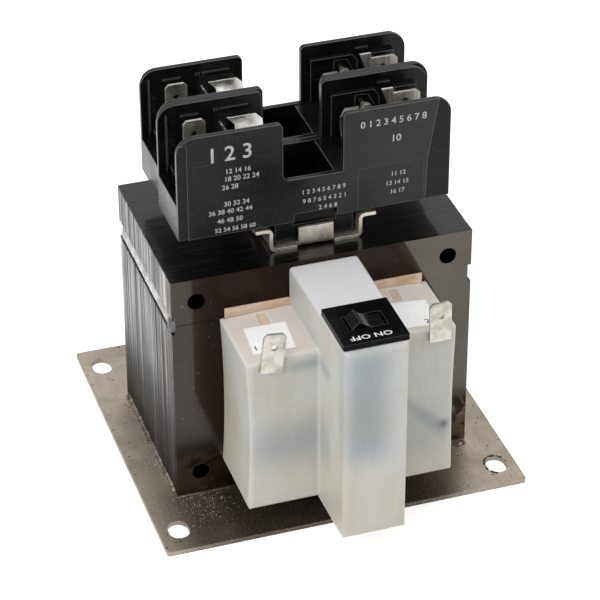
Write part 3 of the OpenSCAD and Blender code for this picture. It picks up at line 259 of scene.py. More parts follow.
def shadows_behind(tree, axes):
    """Painted shadows of the parts behind the front walls, each a mask, a colour and a strength."""
    housing = field(tree, axes, {"Y": (-200, -68)}, 2.5)
    boxes = field(tree, axes, {"Y": (-60, -49)}, 1.5)
    level = add_node(tree, "Math", {0: axes["X"], 1: LEAD_DROP, 2: axes["Z"]},
                     operation="MULTIPLY_ADD")
    along_lead = add_node(tree, "SeparateXYZ", {0: add_node(tree, "CombineXYZ", {
        0: axes["X"], 1: axes["Y"], 2: level})}).outputs
    seen = {
        "protector body": (housing, axes, {"X": (-9.0, 3.2), "Z": (36, 72)}, 5.5, "#8393a1", 0.62),
        "right haze": (boxes, axes, {"X": (8, 27), "Z": (18, 34)}, 7.0, "#9a9f9f", 0.4),
        "right lead": (
            boxes, along_lead, {"X": (8, 27.5), "Z": (51.5, 56.5)}, 2.6, "#7f8993", 0.45),
        "its end": (boxes, axes, {"X": (26.0, 28.4), "Z": (26.4, 29.0)}, 1.5, "#4b5666", 0.85),
        "left pool": (boxes, axes, {"X": (-28, -8), "Z": (26, 38)}, 6.5, "#87939d", 0.52),
        "left hook": (boxes, axes, {"X": (-18, -8), "Z": (55.5, 58.5)}, 2.0, "#8c98a6", 0.5),
    }
    return [(field(tree, own_axes, spans, blur, within=wall), colour, strength)
            for wall, own_axes, spans, blur, colour, strength in seen.values()]


body_low, body_high = corners(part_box("protector_body"))
print("the body behind the wall, in mm:", in_mm(body_low), in_mm(body_high))

# %% [markdown]
# The shell itself is pale grey with slow clouds in it, and a little warm where it is thick. Faces
# that look up are painted lighter, the boxes' tops a warm light tone, and its edges are painted
# brighter, where light leaves by two faces. A short subsurface radius softens it all as the real
# wall does.


# %% Milky moulded shell
def milky_polymer():
    material, tree, shader, place = begin(
        "polypropylene_moulded_natural", Roughness=0.4, IOR=1.49, Specular_IOR_Level=0.4,
        Subsurface_Weight=0.3, Subsurface_Scale=1.4 * MM, Subsurface_Radius=(1.0, 1.0, 0.9))
    axes = add_node(tree, "SeparateXYZ", {0: place}).outputs
    cloud = patches(tree, place, (17, 17, 24), 0.38, 0.66, 2.0)
    flow = patches(tree, place, (5, 5, 14), 0.45, 0.7, 3.0, 0.4)
    fine = patches(tree, place, (1.2, 1.2, 1.2), 0.3, 0.7, 2.0)
    thick = field(tree, axes, {"Z": (-10, 30)}, 14.0)
    up = turned(tree, "Z", 0.6, 0.95)
    painted_box_top_light = field(tree, axes, {"Z": (20, 66)}, 1.0, within=up)
    # Painted light: faces that look up are lighter, the boxes' tops warm and light, edges brighter.
    colour = coats(
        tree, "#cfcfcb", (cloud, "#c5bba4", 0.85), (flow, "#d6d6d2", 0.5), (fine, "#bdbdb8", 0.3),
        (thick, "#cfc7b6", 0.35), (up, "#d6d5d8", 0.9), (painted_box_top_light, "#dfd5cb", 0.8),
        *shadows_behind(tree, axes), (edge_mask(tree, 2.1), "#eaecec", 0.8))
    feed(tree, shader, {"Base Color": colour, "Normal": relief(tree, fine, 0.05, 1.1)})
    return material


shell = milky_polymer()
print("made", shell.name, "with", len(shell.node_tree.nodes), "nodes")

# %% [markdown]
# The core is a stack of stamped silicon steel sheets, dipped in brown varnish and baked. It shows
# three faces, so its finish is made in three parts. The front is one whole sheet, flat under the
# varnish, and works as a dim brown mirror. A dark mirror image of the coil cover, with slanting
# sides, is painted on it as a reflection, and a lighter tan band at the foot as the plate's painted
# reflection. Varnish ran down to the foot and dried there.

# %% The core's front sheet
core_low, core_high = corners(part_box("e_lamination_stack"))
yoke_low, yoke_high = corners(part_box("i_lamination_stack"))
joint_mm = yoke_low.z / MM


def slanting(tree, axes, slope, zero_mm, one_mm):
    """0 to 1 over a slanting line, as X plus slope times Z goes from zero_mm to one_mm."""
    across = add_node(tree, "Math", {0: axes["Z"], 1: slope, 2: axes["X"]},
                      operation="MULTIPLY_ADD")
    return add_node(tree, "MapRange", {
        "Value": across, "From Min": zero_mm * MM, "From Max": one_mm * MM})


def front_sheet(tree, place, axes):
    """The front's colour, and the blotches that its roughness follows too."""
    blotch = patches(tree, place, (24, 24, 30), 0.36, 0.66, 4.0, 0.6)
    speck = patches(tree, place, (0.9, 0.9, 0.9), 0.72, 0.78, 2.0)
    left = field(tree, axes, {"X": (-90, -10)}, 16.0)
    seam = field(tree, axes, {"X": (-60, -20), "Z": (joint_mm - 0.2, joint_mm + 0.1)}, 0.25)
    sides = add_node(tree, "Math", {
        0: slanting(tree, axes, 0.38, -24.8, -23.8), 1: slanting(tree, axes, 0.51, 61.6, 61.1),
    }, operation="MULTIPLY")
    # Painted reflection: a dark mirror image of the coil cover, with slanting sides.
    painted_cover_reflection = field(tree, axes, {"X": (-38.0, 37.2), "Z": (13, 90)}, 0.5, within=sides)
    # The foot band is painted lighter as the plate's reflection; the varnish runs lie within it.
    foot = field(tree, axes, {"Z": (-10, 15)}, 2.5)
    runs = add_node(tree, "Math", {
        0: patches(tree, place, (9, 40, 7), 0.52, 0.6, 3.0, 1.2), 1: foot}, operation="MULTIPLY")
    drip = field(tree, axes, {"X": (39.5, 46), "Z": (4, 17)}, 2.0,
                 within=patches(tree, place, (3.5, 3.5, 4.5), 0.46, 0.54, 3.0, 0.8))
    colour = coats(
        tree, "#58534f", (left, "#3f3b38", 1.0), (blotch, "#4c4641", 0.5), (painted_cover_reflection, "#2a1f1a", 0.8),
        (seam, "#191412", 0.7), (foot, "#75685d", 0.8), (drip, "#201713", 0.85),
        (runs, "#2a1f1a", 0.6), (speck, "#9d958c", 0.5))
    return colour, blotch


print("core in mm:", in_mm(core_high - core_low), "joint at", round(joint_mm, 1))

# %% [markdown]
# The sides are the cut edges of the sheets: one streak a sheet, with some wider dark and bright
# ones among them. They are paler at the top and towards the back, and dark at the foot. Noise
# stretched upright and squeezed to the sheet's pitch gives such streaks.

# %% The core's cut edges
SHEET_MM = 0.5
sheet_count = round((core_high.y - core_low.y) / (SHEET_MM * MM))


def cut_edges(tree, place, axes):
    """The sides' colour, and the streaks that stand as fine ridges too."""
    sheet = patches(tree, place, (70, 2 * SHEET_MM, 90), 0.34, 0.66, 3.0)
    band = patches(tree, place, (90, 3.4, 200), 0.40, 0.64, 2.0)
    gap = patches(tree, place, (90, 1.6, 160), 0.60, 0.68, 1.0)
    damp = patches(tree, place, (40, 14, 18), 0.42, 0.6, 3.0, 0.5)
    high = field(tree, axes, {"Z": (36, 90)}, 18.0)
    back = field(tree, axes, {"Y": (14, 80), "Z": (20, 90)}, 14.0)
    low = field(tree, axes, {"Z": (-40, 24)}, 12.0)
    yoke = field(tree, axes, {"Z": (joint_mm + 2, 200)}, 1.0)
    lower = coats(
        tree, "#5c5a59", (high, "#b4b3b3", 0.9), (back, "#dcdbdb", 0.8), (sheet, "#a9a8a7", 0.6),
        (band, "#3a3837", 0.5), (gap, "#0f0e0e", 0.9))
    upper = coats(
        tree, "#8b8a89", (sheet, "#e2e1e1", 0.85), (band, "#5a5857", 0.5), (gap, "#1c1a19", 0.8))
    colour = coats(
        tree, lower, (yoke, upper, 1.0), (damp, "#2c2826", 0.25), (low, "#1d1b1a", 0.75))
    return colour, sheet


print("sheets in the stack:", sheet_count)

# %% [markdown]
# The top is drowned in varnish: it looks black, a few sheet edges show through, and a clear coat
# mirrors the rail. The insides of the four bolt holes are painted near black as shade. Now the
# three parts meet in one material, each on the faces that look its way. All of it is metal, so a
# dark colour means that little light comes back.

# %% Varnished lamination steel
BORE_INSET_MM = 2


def lamination_steel():
    material, tree, shader, place = begin(
        "silicon_steel_stamped_varnished", Metallic=1.0, Coat_Roughness=0.1)
    axes = add_node(tree, "SeparateXYZ", {0: place}).outputs
    front, blotch = front_sheet(tree, place, axes)
    side, sheet = cut_edges(tree, place, axes)
    threads = add_node(tree, "Math", {
        0: patches(tree, place, (15, 0.6, 15), 0.58, 0.74, 3.0, 0.3),
        1: patches(tree, place, (20, 30, 20), 0.46, 0.62, 2.0)}, operation="MULTIPLY")
    top = coats(tree, "#161515", (threads, "#8b8784", 0.6))

    side_on = turned(tree, "X", 0.6, 0.9, both_ways=True)
    up = turned(tree, "Z", 0.6, 0.9)
    # Painted shade: the insides of the bolt holes are near black.
    painted_bore_shade = field(tree, axes, {
        "X": (core_low.x / MM + BORE_INSET_MM, core_high.x / MM - BORE_INSET_MM),
        "Z": (core_low.z / MM + BORE_INSET_MM, yoke_high.z / MM - BORE_INSET_MM),
    }, 0.2, within=turned(tree, "Y", 0.6, 0.3, both_ways=True))
    ridged = add_node(tree, "Math", {
        0: side_on, 1: add_node(tree, "Math", {0: up, 1: 0.15}, operation="MULTIPLY"),
    }, operation="MAXIMUM")
    grooves = add_node(tree, "Math", {0: sheet, 1: ridged}, operation="MULTIPLY")
    feed(tree, shader, {
        "Base Color": coats(
            tree, front, (side_on, side, 1.0), (up, top, 1.0), (painted_bore_shade, "#050404", 1.0)),
        "Roughness": coats(tree, 0.14, (blotch, 0.24, 1.0), (side_on, 0.6, 1.0), (up, 0.4, 1.0)),
        "Coat Weight": add_node(tree, "Math", {0: up, 1: 0.5}, operation="MULTIPLY"),
        "Normal": relief(tree, grooves, 0.22, 0.15)})
    return material


core_steel = lamination_steel()
print("made", core_steel.name, "with", len(core_steel.node_tree.nodes), "nodes")

# %% [markdown]
# The foot plate is rolled mild steel. The dip left it with a thin brown film, tan at the left and
# back, thick and dark in front of the core, and with small pits that hold darker drops. Noise alone
# wouldn't know where the core stands, so the film is two soft fields over it.


# %% Foot plate
def plate_steel():
    material, tree, shader, place = begin("mild_steel_rolled_dipped", Metallic=0.7)
    axes = add_node(tree, "SeparateXYZ", {0: place}).outputs
    blotch = patches(tree, place, (24, 15, 20), 0.38, 0.64, 4.0, 0.6)
    roll = patches(tree, place, (1.0, 26, 10), 0.3, 0.7, 3.0)
    pit = patches(tree, place, (1.1, 1.1, 1.1), 0.68, 0.76, 1.0)
    grit = patches(tree, place, (0.5, 0.5, 0.5), 0.62, 0.72, 1.0)
    film = field(tree, axes, {"X": (-48, 34), "Y": (-200, -25)}, 7.0)
    thick = field(tree, axes, {"X": (-35, 26), "Y": (-200, -27)}, 6.0)
    colour = coats(
        tree, "#b2a899", (roll, "#9d9385", 0.7), (blotch, "#8d8276", 0.8), (film, "#5b5149", 0.8),
        (thick, "#54483f", 0.8), (grit, "#c8beb1", 0.5), (pit, "#231b17", 0.85))
    feed(tree, shader, {
        "Base Color": colour,
        "Roughness": coats(tree, 0.36, (blotch, 0.46, 1.0), (film, 0.3, 1.0)),
        "Normal": relief(tree, pit, -0.06, 0.3)})
    return material


foot_steel = plate_steel()
plate_low, plate_high = corners(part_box("base_plate"))
print("plate in mm:", in_mm(plate_high - plate_low))

# %% [markdown]
# A weld bead is metal that froze as it ran, so it is smooth, rippled and brighter than the cut
# edges beside it, and its last drop at the front has a burnt grey skin. Spatter is the same metal
# thrown off as drops. What lies low is dull with varnish. The three differ in tone and gloss alone,
# so they share one recipe.

# %% Weld metal
BURNT_MM = 3.2


def weld_metal(name, light, dark, roughness):
    material, tree, shader, place = begin(name, Metallic=0.85, Roughness=roughness)
    axes = add_node(tree, "SeparateXYZ", {0: place}).outputs
    soot = patches(tree, place, (6, 4, 5), 0.42, 0.62)
    fleck = patches(tree, place, (0.7, 0.7, 0.7), 0.45, 0.7)
    stop = field(tree, axes, {"Y": (-60, core_low.y / MM + BURNT_MM), "Z": (50, 70)}, 0.8)
    colour = coats(tree, light, (soot, dark, 0.7), (fleck, dark, 0.4), (stop, "#45413f", 0.85))
    feed(tree, shader, {"Base Color": colour, "Normal": relief(tree, fleck, 0.05, 0.1)})
    return material


bright_weld = weld_metal("steel_weld_bead_solidified", "#cfcecd", "#989592", 0.42)
dull_weld = weld_metal("steel_weld_bead_varnished", "#8d8378", "#3e352f", 0.42)
spatter_metal = weld_metal("steel_weld_spatter", "#b9b1a6", "#6f665c", 0.4)
print("made", bright_weld.name, dull_weld.name, spatter_metal.name)

# %% [markdown]
# The fuse block is a black thermoset moulding with a satin skin. Its edges are slightly round and
# scuffed, and each one carries a thin painted grey highlight; those lines draw the block at a
# distance. The outer wall at the front is painted greyer, lighter towards its right, as light falls
# on it, the left end carries a painted reflection, and the wall is flecked with dust. Inner corners
# get no painted highlight, which ambient occlusion tells from open edges. The skin's real grain is
# too fine for a picture, so it is drawn at 0.45 mm.

# %% Moulded black block
END_SKIN_MM = 0.15
block_low = corners(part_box("pole_housing_front"))[0]


def black_moulding():
    material, tree, shader, place = begin(
        "phenolic_moulded_satin", IOR=1.6, Specular_IOR_Level=0.14)
    axes = add_node(tree, "SeparateXYZ", {0: place}).outputs
    cloud = patches(tree, place, (12, 12, 12), 0.36, 0.66)
    skin = patches(tree, place, (0.45, 0.45, 0.45), 0.3, 0.7, 2.0)
    scuff = patches(tree, place, (7, 3, 0.9), 0.62, 0.74, 4.0, 0.7)
    fleck = patches(tree, place, (0.7, 0.7, 0.7), 0.56, 0.72, 3.0)
    openness = add_node(tree, "AmbientOcclusion", {"Distance": 1.5 * MM}, samples=4,
                        only_local=True).outputs["AO"]
    painted_edge_highlight = add_node(tree, "Math", {0: edge_mask(tree, 0.45), 1: add_node(tree, "MapRange", {
        "Value": openness, "From Min": 0.80, "From Max": 0.97})}, operation="MULTIPLY")
    wall = field(tree, axes, {"Y": (-40, -20.6)}, 0.1)
    dusty = add_node(tree, "Math", {0: wall, 1: fleck}, operation="MULTIPLY")
    painted_wall_light = field(tree, axes, {"X": (4, 90)}, 26.0, within=wall)
    painted_end_reflection = field(tree, axes, {"X": (-60, block_low.x / MM + END_SKIN_MM)}, 0.1)
    # Painted light: a greyer front wall, lighter to the right, a reflection on the left end, edge
    # highlights.
    colour = coats(
        tree, "#0c0c0d", (cloud, "#131314", 0.9), (wall, "#151516", 0.7), (dusty, "#323233", 0.5),
        (painted_wall_light, "#363637", 0.75), (painted_end_reflection, "#4b4b4c", 0.7), (scuff, "#464647", 0.3),
        (painted_edge_highlight, "#8c8c8d", 0.65))
    feed(tree, shader, {
        "Base Color": colour, "Roughness": coats(tree, 0.16, (cloud, 0.3, 1.0)),
        "Normal": relief(tree, skin, 0.012, 0.3)})
    return material


block_plastic = black_moulding()
print("made", block_plastic.name, "from x =", round(block_low.x / MM, 1), "mm on")

# %% [markdown]
# The protector's bezel and rocker are moulded in glossy black ABS. Gloss black has almost no colour
# of its own: the eye reads it from the soft light that it mirrors, and from a little dust. Fingers
# have polished the rocker, so it mirrors more than the bezel does.


# %% Glossy black ABS
def gloss_abs(name, mirror):
    material, tree, shader, place = begin(name, IOR=1.54, Specular_IOR_Level=mirror)
    dust = patches(tree, place, (0.8, 0.8, 0.8), 0.64, 0.8)
    wipe = patches(tree, place, (6, 2, 4), 0.3, 0.7, 3.0, 0.5)
    # The edges are painted lighter, a painted highlight along each one.
    feed(tree, shader, {
        "Base Color": coats(
            tree, "#090909", (dust, "#4c4c4e", 0.2), (edge_mask(tree, 0.3), "#6a6a6c", 0.6)),
        "Roughness": coats(tree, 0.14, (wipe, 0.26, 1.0)),
        "Normal": relief(tree, dust, 0.01, 0.25)})
    return material


cap_plastic = gloss_abs("abs_moulded_glossy", 0.06)
rocker_plastic = gloss_abs("abs_moulded_polished", 0.4)
print("made", cap_plastic.name, rocker_plastic.name)

# %% [markdown]
# Plain plastics, papers and inks differ in colour, gloss and grain alone, so one recipe serves
# them: the protector's dull thermoset body, the leads' PVC, the bobbin's nylon, and the coated
# label paper, which is never one flat white but has a faint mottle. Ink has a finer grain than a
# picture shows, so it is drawn at 0.8 mm.

# %% Plain plastics, paper and ink
FINE_GRAIN_MM = (0.8, 0.8, 0.8)


def mottled(name, base, spot, roughness, size_mm, depth_mm):
    material, tree, shader, place = begin(name, Roughness=roughness, IOR=1.5)
    mottle = patches(tree, place, size_mm, 0.34, 0.68, 4.0)
    feed(tree, shader, {
        "Base Color": coats(tree, base, (mottle, spot, 1.0)),
        "Normal": relief(tree, mottle, depth_mm, 0.2)})
    return material


body_plastic = mottled("thermoset_moulded_dull", "#20262e", "#2e353e", 0.55, (5, 5, 5), 0.05)
lead_plastic = mottled("pvc_extruded", "#1b2634", "#28323f", 0.4, (3, 3, 9), 0.03)
bobbin_plastic = mottled("nylon_moulded_natural", "#cfc8b4", "#ddd8c8", 0.5, (8, 8, 8), 0.03)
label_paper = mottled("paper_coated_white", "#ffffff", "#f8f8f7", 0.6, (1.5, 1.5, 1.5), 0.02)
pale_ink = mottled("ink_printed_pale", "#c9c9c8", "#a5a5a4", 0.5, FINE_GRAIN_MM, 0.01)
white_ink = mottled("ink_printed_white", "#efefee", "#d6d6d5", 0.45, FINE_GRAIN_MM, 0.01)
black_ink = mottled("ink_printed_black", "#161616", "#2a2a2a", 0.5, FINE_GRAIN_MM, 0.01)
print("made", body_plastic.name, lead_plastic.name, bobbin_plastic.name, label_paper.name)

# %% [markdown]
# Enamelled copper wire lies in even turns, so a winding is ribbed at the pitch of the wire. A sine
# of the height, one wave a turn, gives those ribs without a thousand modelled wires. The varnish
# that holds them makes the copper a deep orange-brown.

# %% Enamelled copper
WIRE_MM = 0.9


def winding_copper(name, dark, light):
    material, tree, shader, place = begin(
        name, Metallic=0.7, Roughness=0.34, Coat_Weight=0.8, Coat_Roughness=0.1)
    height = add_node(tree, "SeparateXYZ", {0: place}).outputs["Z"]
    turns = add_node(tree, "Math", {0: add_node(tree, "Math", {
        0: height, 1: 2 * math.pi / (WIRE_MM * MM)}, operation="MULTIPLY")}, operation="SINE")
    tone = patches(tree, place, (9, 9, WIRE_MM), 0.35, 0.7, 2.0)
    feed(tree, shader, {
        "Base Color": coats(tree, dark, (tone, light, 1.0)),
        "Normal": relief(tree, turns, WIRE_MM / 4)})
    return material


copper_inner = winding_copper("copper_wire_enamelled_inner", "#7a3f1c", "#a55f30")
copper_outer = winding_copper("copper_wire_enamelled_outer", "#8a4a21", "#b8713c")
coil_low, coil_high = corners(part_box("secondary_winding"))
print("turns in the winding's height:", round((coil_high.z - coil_low.z) / (WIRE_MM * MM)))

# %% [markdown]
# Pressboard and kraft paper are brown cellulose. Long fibres lie along the sheet and show as thin
# darker and lighter lines, and varnish has soaked in here and there. Noise drawn out along X gives
# the fibres, which are far too many to model.


# %% Pressboard
def pressboard():
    material, tree, shader, place = begin(
        "pressboard_calendered_varnished", Roughness=0.6, IOR=1.5)
    fibre = patches(tree, place, (5, 0.45, 0.45), 0.34, 0.68, 4.0, 0.8)
    soak = patches(tree, place, (8, 8, 5), 0.46, 0.7)
    colour = coats(
        tree, "#d8bb9e", (fibre, "#ead6c1", 1.0), (soak, "#ab8564", 0.5),
        (edge_mask(tree, 0.3), "#f0e0cd", 0.5))
    feed(tree, shader, {"Base Color": colour, "Normal": relief(tree, fibre, 0.05, 0.1)})
    return material


board = pressboard()
print("made", board.name)

# %% [markdown]
# Four plated metals are on or under the block. The blades are tinned brass: soft, a little grey,
# with fine rubbing marks. The fuse clips are nickel plated spring strip and mirror more; the two
# deep ones on the right get a darker, duller copy of it, as painted shade. The rail is steel with
# passivated zinc, which has a warm, cloudy look. Along the edges a colour is painted: a dark
# outline on the blades and a highlight on the clips and the rail. One recipe serves all, because
# plating differs in tone, gloss and rub.


# %% Plated metals
def plated(name, light, dark, rim, roughness, rub_mm, depth_mm):
    material, tree, shader, place = begin(name, Metallic=0.92)
    cloud = patches(tree, place, (3.5, 3.5, 3.5), 0.4, 0.66)
    rub = patches(tree, place, rub_mm, 0.3, 0.7)
    speck = patches(tree, place, (0.5, 0.5, 0.5), 0.66, 0.74, 2.0)
    # The edges get a painted rim: a dark outline on the blades, a highlight on the clips and the
    # rail.
    feed(tree, shader, {
        "Base Color": coats(
            tree, light, (cloud, dark, 0.9), (speck, "#5e5952", 0.35),
            (edge_mask(tree, 0.15), rim, 0.6)),
        "Roughness": add_node(tree, "MapRange", {
            "Value": rub, "To Min": roughness - 0.08, "To Max": roughness + 0.1}),
        "Normal": relief(tree, rub, depth_mm, 0.15)})
    return material


tin = plated("brass_stamped_tinned", "#cbc7be", "#9b968a", "#6e6a61", 0.36, (0.6, 3, 6), 0.015)
nickel = plated(
    "spring_strip_nickel_plated", "#eceae6", "#bfbdb7", "#f4f3f0", 0.20, (3, 0.5, 2), 0.012)
# Painted shade: a darker copy of the nickel for the two right clips, which sit in shade.
shaded_nickel = plated(
    "spring_strip_nickel_painted_shade", "#7d7a75", "#45423e", "#8a8782", 0.38, (2, 2, 2), 0.02)
zinc = plated("steel_zinc_passivated", "#efe9de", "#ccc2b1", "#f4f1ea", 0.34, (2, 2, 2), 0.012)
print("made", tin.name, nickel.name, shaded_nickel.name, zinc.name)

# %% [markdown]
# Each solid now gets the finish of its own material. What the table doesn't name is a tab, a blade
# or a terminal, and those are all tinned.

# %% Dress the solids
DRESSED = (
    (foot_steel, "base_plate"),
    (core_steel, "e_lamination_stack i_lamination_stack"),
    (dull_weld, "base_welds rail_tack_welds"),
    (bright_weld, "core_weld_left core_weld_right"),
    (bobbin_plastic, "bobbin"),
    (copper_inner, "primary_winding"),
    (copper_outer, "secondary_winding"),
    (board, "layer_insulation coil_wrap front_pressboard rear_pressboard"),
    (shell, "front_coil_cover rear_coil_cover"),
    (cap_plastic, "protector_bezel"),
    (rocker_plastic, "protector_rocker"),
    (body_plastic, "protector_body"),
    (lead_plastic, "lead_left lead_right"),
    (label_paper, "label_left label_right"),
    (block_plastic, "pole_housing_front pole_housing_rear"),
    (nickel, "left_clip_front left_clip_rear"),
    (shaded_nickel, "right_clip_front right_clip_rear"),
    (zinc, "din_rail terminal_screws_front terminal_screws_rear clip_rivet_front clip_rivet_rear"),
)
finishes = {node: finish for finish, nodes in DRESSED for node in nodes.split()}
for name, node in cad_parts.items():
    node.data.materials.clear()
    node.data.materials.append(finishes.get(name, tin))
print("dressed", len(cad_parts), "solids; tinned:",
      sorted(set(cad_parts) - set(finishes)))

# %% [markdown]
# A piece is a mesh made here, for what a solid can't show. Each one is given its finish and the
# body that it moves with. Two kinds of bead are swept in stations, so the quads between
# neighbouring stations have a function of their own.


# %% Functions for pieces
def add_piece(name, points_mm, faces, finish, body="transformer", smooth=True):
    """Makes a mesh object from points in mm, dresses it and lets it ride on a body."""
    mesh = bpy.data.meshes.new(name)
    mesh.from_pydata([(x * MM, y * MM, z * MM) for x, y, z in points_mm], [], faces)
    mesh.validate()
    mesh.materials.append(finish)
    mesh.polygons.foreach_set("use_smooth", [smooth] * len(mesh.polygons))
    piece = bpy.data.objects.new(name, mesh)
    scene.collection.objects.link(piece)
    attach(piece, body)
    return piece


def swept_faces(stations, ring, side):
    """Quads between neighbouring stations of ring points each, facing outwards on either side."""
    faces = []
    for station in range(stations - 1):
        for k in range(ring - 1):
            a, b = station * ring + k, (station + 1) * ring + k
            faces.append((a, b, b + 1, a + 1) if side > 0 else (a, a + 1, b + 1, b))
    return faces


# %% [markdown]
# No press stacks a hundred sheets perfectly: on the cut sides each sheet stands out or back by a
# few hundredths of a millimetre. Thin strips with a seeded height of their own give those sides
# real ridges, which catch the light from the side as the material's streaks can't. They stop short
# of the joint's notch, of the plate and of the stack's corners.

# %% Sheet edges
NOTCH_HALF_MM = 2.8
PROUD_MM = (0.0, 0.02, 0.04, 0.07, 0.11)
ROOT_MM = 0.05
STRIP_FACES = ((4, 5, 6, 7), (0, 4, 7, 3), (1, 2, 6, 5), (3, 7, 6, 2), (0, 1, 5, 4))


def sheet_edges(name, side, bottom, top):
    """Upright strips on one side of a stack, one a sheet, between two heights in mm."""
    rng = random.Random(31 + round(bottom) + side)
    face = side * core_high.x / MM
    points, faces = [], []
    for i in range(1, sheet_count - 1):
        near = core_low.y / MM + i * SHEET_MM
        far = near + SHEET_MM
        proud = face + side * rng.choice(PROUD_MM)
        lower, upper = bottom + rng.uniform(0.05, 0.3), top - rng.uniform(0.05, 0.25)
        base = len(points)
        for x in (face - side * ROOT_MM, proud):
            points += [(x, near, lower), (x, far, lower), (x, far, upper), (x, near, upper)]
        faces += [tuple(base + k for k in (f if side > 0 else f[::-1])) for f in STRIP_FACES]
    return add_piece(name, points, faces, core_steel, smooth=False)


for name, side in (("left", -1), ("right", 1)):
    e_strips = sheet_edges(
        f"sheet_edges_e_{name}", side, core_low.z / MM, joint_mm - NOTCH_HALF_MM)
    i_strips = sheet_edges(
        f"sheet_edges_i_{name}", side, joint_mm + NOTCH_HALF_MM, yoke_high.z / MM)
    print(name, "strip faces:", len(e_strips.data.polygons) + len(i_strips.data.polygons))

# %% [markdown]
# Where the two lamination stacks meet, one weld runs along each side. It was laid by a machine at
# an even speed, so it is a smooth band with fine curved ripples, and it ends in a blob where the
# torch stopped: at the front on the left, a little further in on the right. The bead is swept along
# Y. Each station is a half oval, pushed out a little by the ripples and a lot by the blob, and
# drawn in to nothing at both ends.

# %% Joint welds
BEAD_HALF_MM = 1.9
BEAD_OUT_MM = 1.25
BEAD_END_MM = 1.8
BEAD_RING = 13
RIPPLE_MM = 1.1
STATION_MM = 0.3
NOTCH_DEEP_MM = 1.0
RIPPLE_BOW_MM = 0.7
BLOB_AT_MM, BLOB_LONG_MM = 2.2, 1.7
BLOB_OUT_MM, BLOB_HALF_MM, BLOB_SAG_MM = 0.35, 0.7, 0.5
BACK_GAP_MM = 1.5


def joint_bead(name, side, seed, behind_mm):
    """One side's bead, from so far behind the core's front to near its back."""
    floor_x = core_high.x / MM - NOTCH_DEEP_MM
    start, end = core_low.y / MM + behind_mm, core_high.y / MM - BACK_GAP_MM
    count = round((end - start) / STATION_MM)
    rng = random.Random(seed)
    wander = [rng.uniform(-1, 1) for _ in range(count + 2)]
    points = []
    for i in range(count + 1):
        y = start + (end - start) * i / count
        inward = min(1, (y - start) / BEAD_END_MM, (end - y) / BEAD_END_MM)
        taper = math.sqrt(max(0.0, 1 - (1 - inward) ** 2))
        blob = math.exp(-((y - start - BLOB_AT_MM) / BLOB_LONG_MM) ** 2)
        for k in range(BEAD_RING):
            a = math.pi * (k / (BEAD_RING - 1) - 0.5)
            wave = math.sin(2 * math.pi * (y - RIPPLE_BOW_MM * math.sin(a) ** 2) / RIPPLE_MM)
            out = BEAD_OUT_MM * (1 + 0.04 * wave + 0.03 * wander[i]) + BLOB_OUT_MM * blob
            half = BEAD_HALF_MM * (1 + 0.05 * wander[i + 1]) + BLOB_HALF_MM * blob
            points.append((side * (floor_x + out * taper * math.cos(a)), y,
                           joint_mm + half * taper * math.sin(a) - BLOB_SAG_MM * blob))
    faces = swept_faces(count + 1, BEAD_RING, side)
    return add_piece(name, points, faces, bright_weld)


for name, side, seed, behind_mm in (
        ("joint_bead_left", -1, 7, -0.6), ("joint_bead_right", 1, 8, 3.4)):
    bead = joint_bead(name, side, seed, behind_mm)
    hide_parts("core_weld_left" if side < 0 else "core_weld_right")
    print(name, "faces:", len(bead.data.polygons))

# %% [markdown]
# The core stands on the plate in two short fillets of weld, rough and brown with varnish. An even
# fillet would look machined, so each is a low ridge whose height and reach wander from point to
# point, swept along Y like the beads.

# %% Foot welds
FILLET_OUT_MM, FILLET_UP_MM = 1.15, 1.05
FILLET_STATION_MM = 0.45
FILLET_RING = 7
FILLET_SHORT_MM, FILLET_SUNK_MM = 4, 0.25
END_STATIONS = 3
WANDER = 0.28
plate_top_mm = plate_high.z / MM


def foot_fillet(name, side):
    """One side's fillet, a quarter oval at each station between the core and the plate."""
    rng = random.Random(21 + side)
    length = (core_high.y - core_low.y) / MM - FILLET_SHORT_MM
    count = round(length / FILLET_STATION_MM)
    wall = core_high.x / MM - FILLET_SUNK_MM
    points = []
    for i in range(count + 1):
        y = length * (i / count - 0.5)
        ends = min(1.0, i / END_STATIONS, (count - i) / END_STATIONS)
        for k in range(FILLET_RING):
            a = math.pi / 2 * k / (FILLET_RING - 1)
            grow = (1 + rng.uniform(-WANDER, WANDER)) * ends
            points.append((side * (wall + FILLET_OUT_MM * grow * math.cos(a)), y,
                           plate_top_mm + FILLET_UP_MM * grow * math.sin(a)))
    faces = swept_faces(count + 1, FILLET_RING, side)
    return add_piece(name, points, faces, dull_weld)


fillets = [foot_fillet("foot_fillet_left", -1), foot_fillet("foot_fillet_right", 1)]
for fillet in fillets:
    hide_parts("base_welds")
print("fillet faces:", [len(fillet.data.polygons) for fillet in fillets])

# %% [markdown]
# Spatter is made of drops that froze where they fell: hundreds of tiny uneven beads along the left
# foot and thickly round the front left corner. They are icospheres pushed out of round, all in one
# mesh, because hundreds of objects would be slow to handle. A seeded dice scatters them, so every
# run gives the same ones.


# %% One mesh of drops
def scatter_drops(name, spots, finish):
    """One mesh of uneven drops; each spot is x, y, z and a radius, all in mm."""
    rng = random.Random(5)
    round_drop = bmesh.new()
    bmesh.ops.create_icosphere(round_drop, subdivisions=1, radius=1.0)
    shape = [vertex.co.copy() for vertex in round_drop.verts]
    sides = [[vertex.index for vertex in face.verts] for face in round_drop.faces]
    round_drop.free()
    points, faces = [], []
    for x, y, z, r in spots:
        base = len(points)
        points += [(x + c.x * r * rng.uniform(0.7, 1.3), y + c.y * r * rng.uniform(0.7, 1.3),
                    z + c.z * r * rng.uniform(0.5, 0.9)) for c in shape]
        faces += [[base + i for i in side] for side in sides]
    return add_piece(name, points, faces, finish)


print("drops sit at a height of", round(plate_top_mm, 2), "mm")

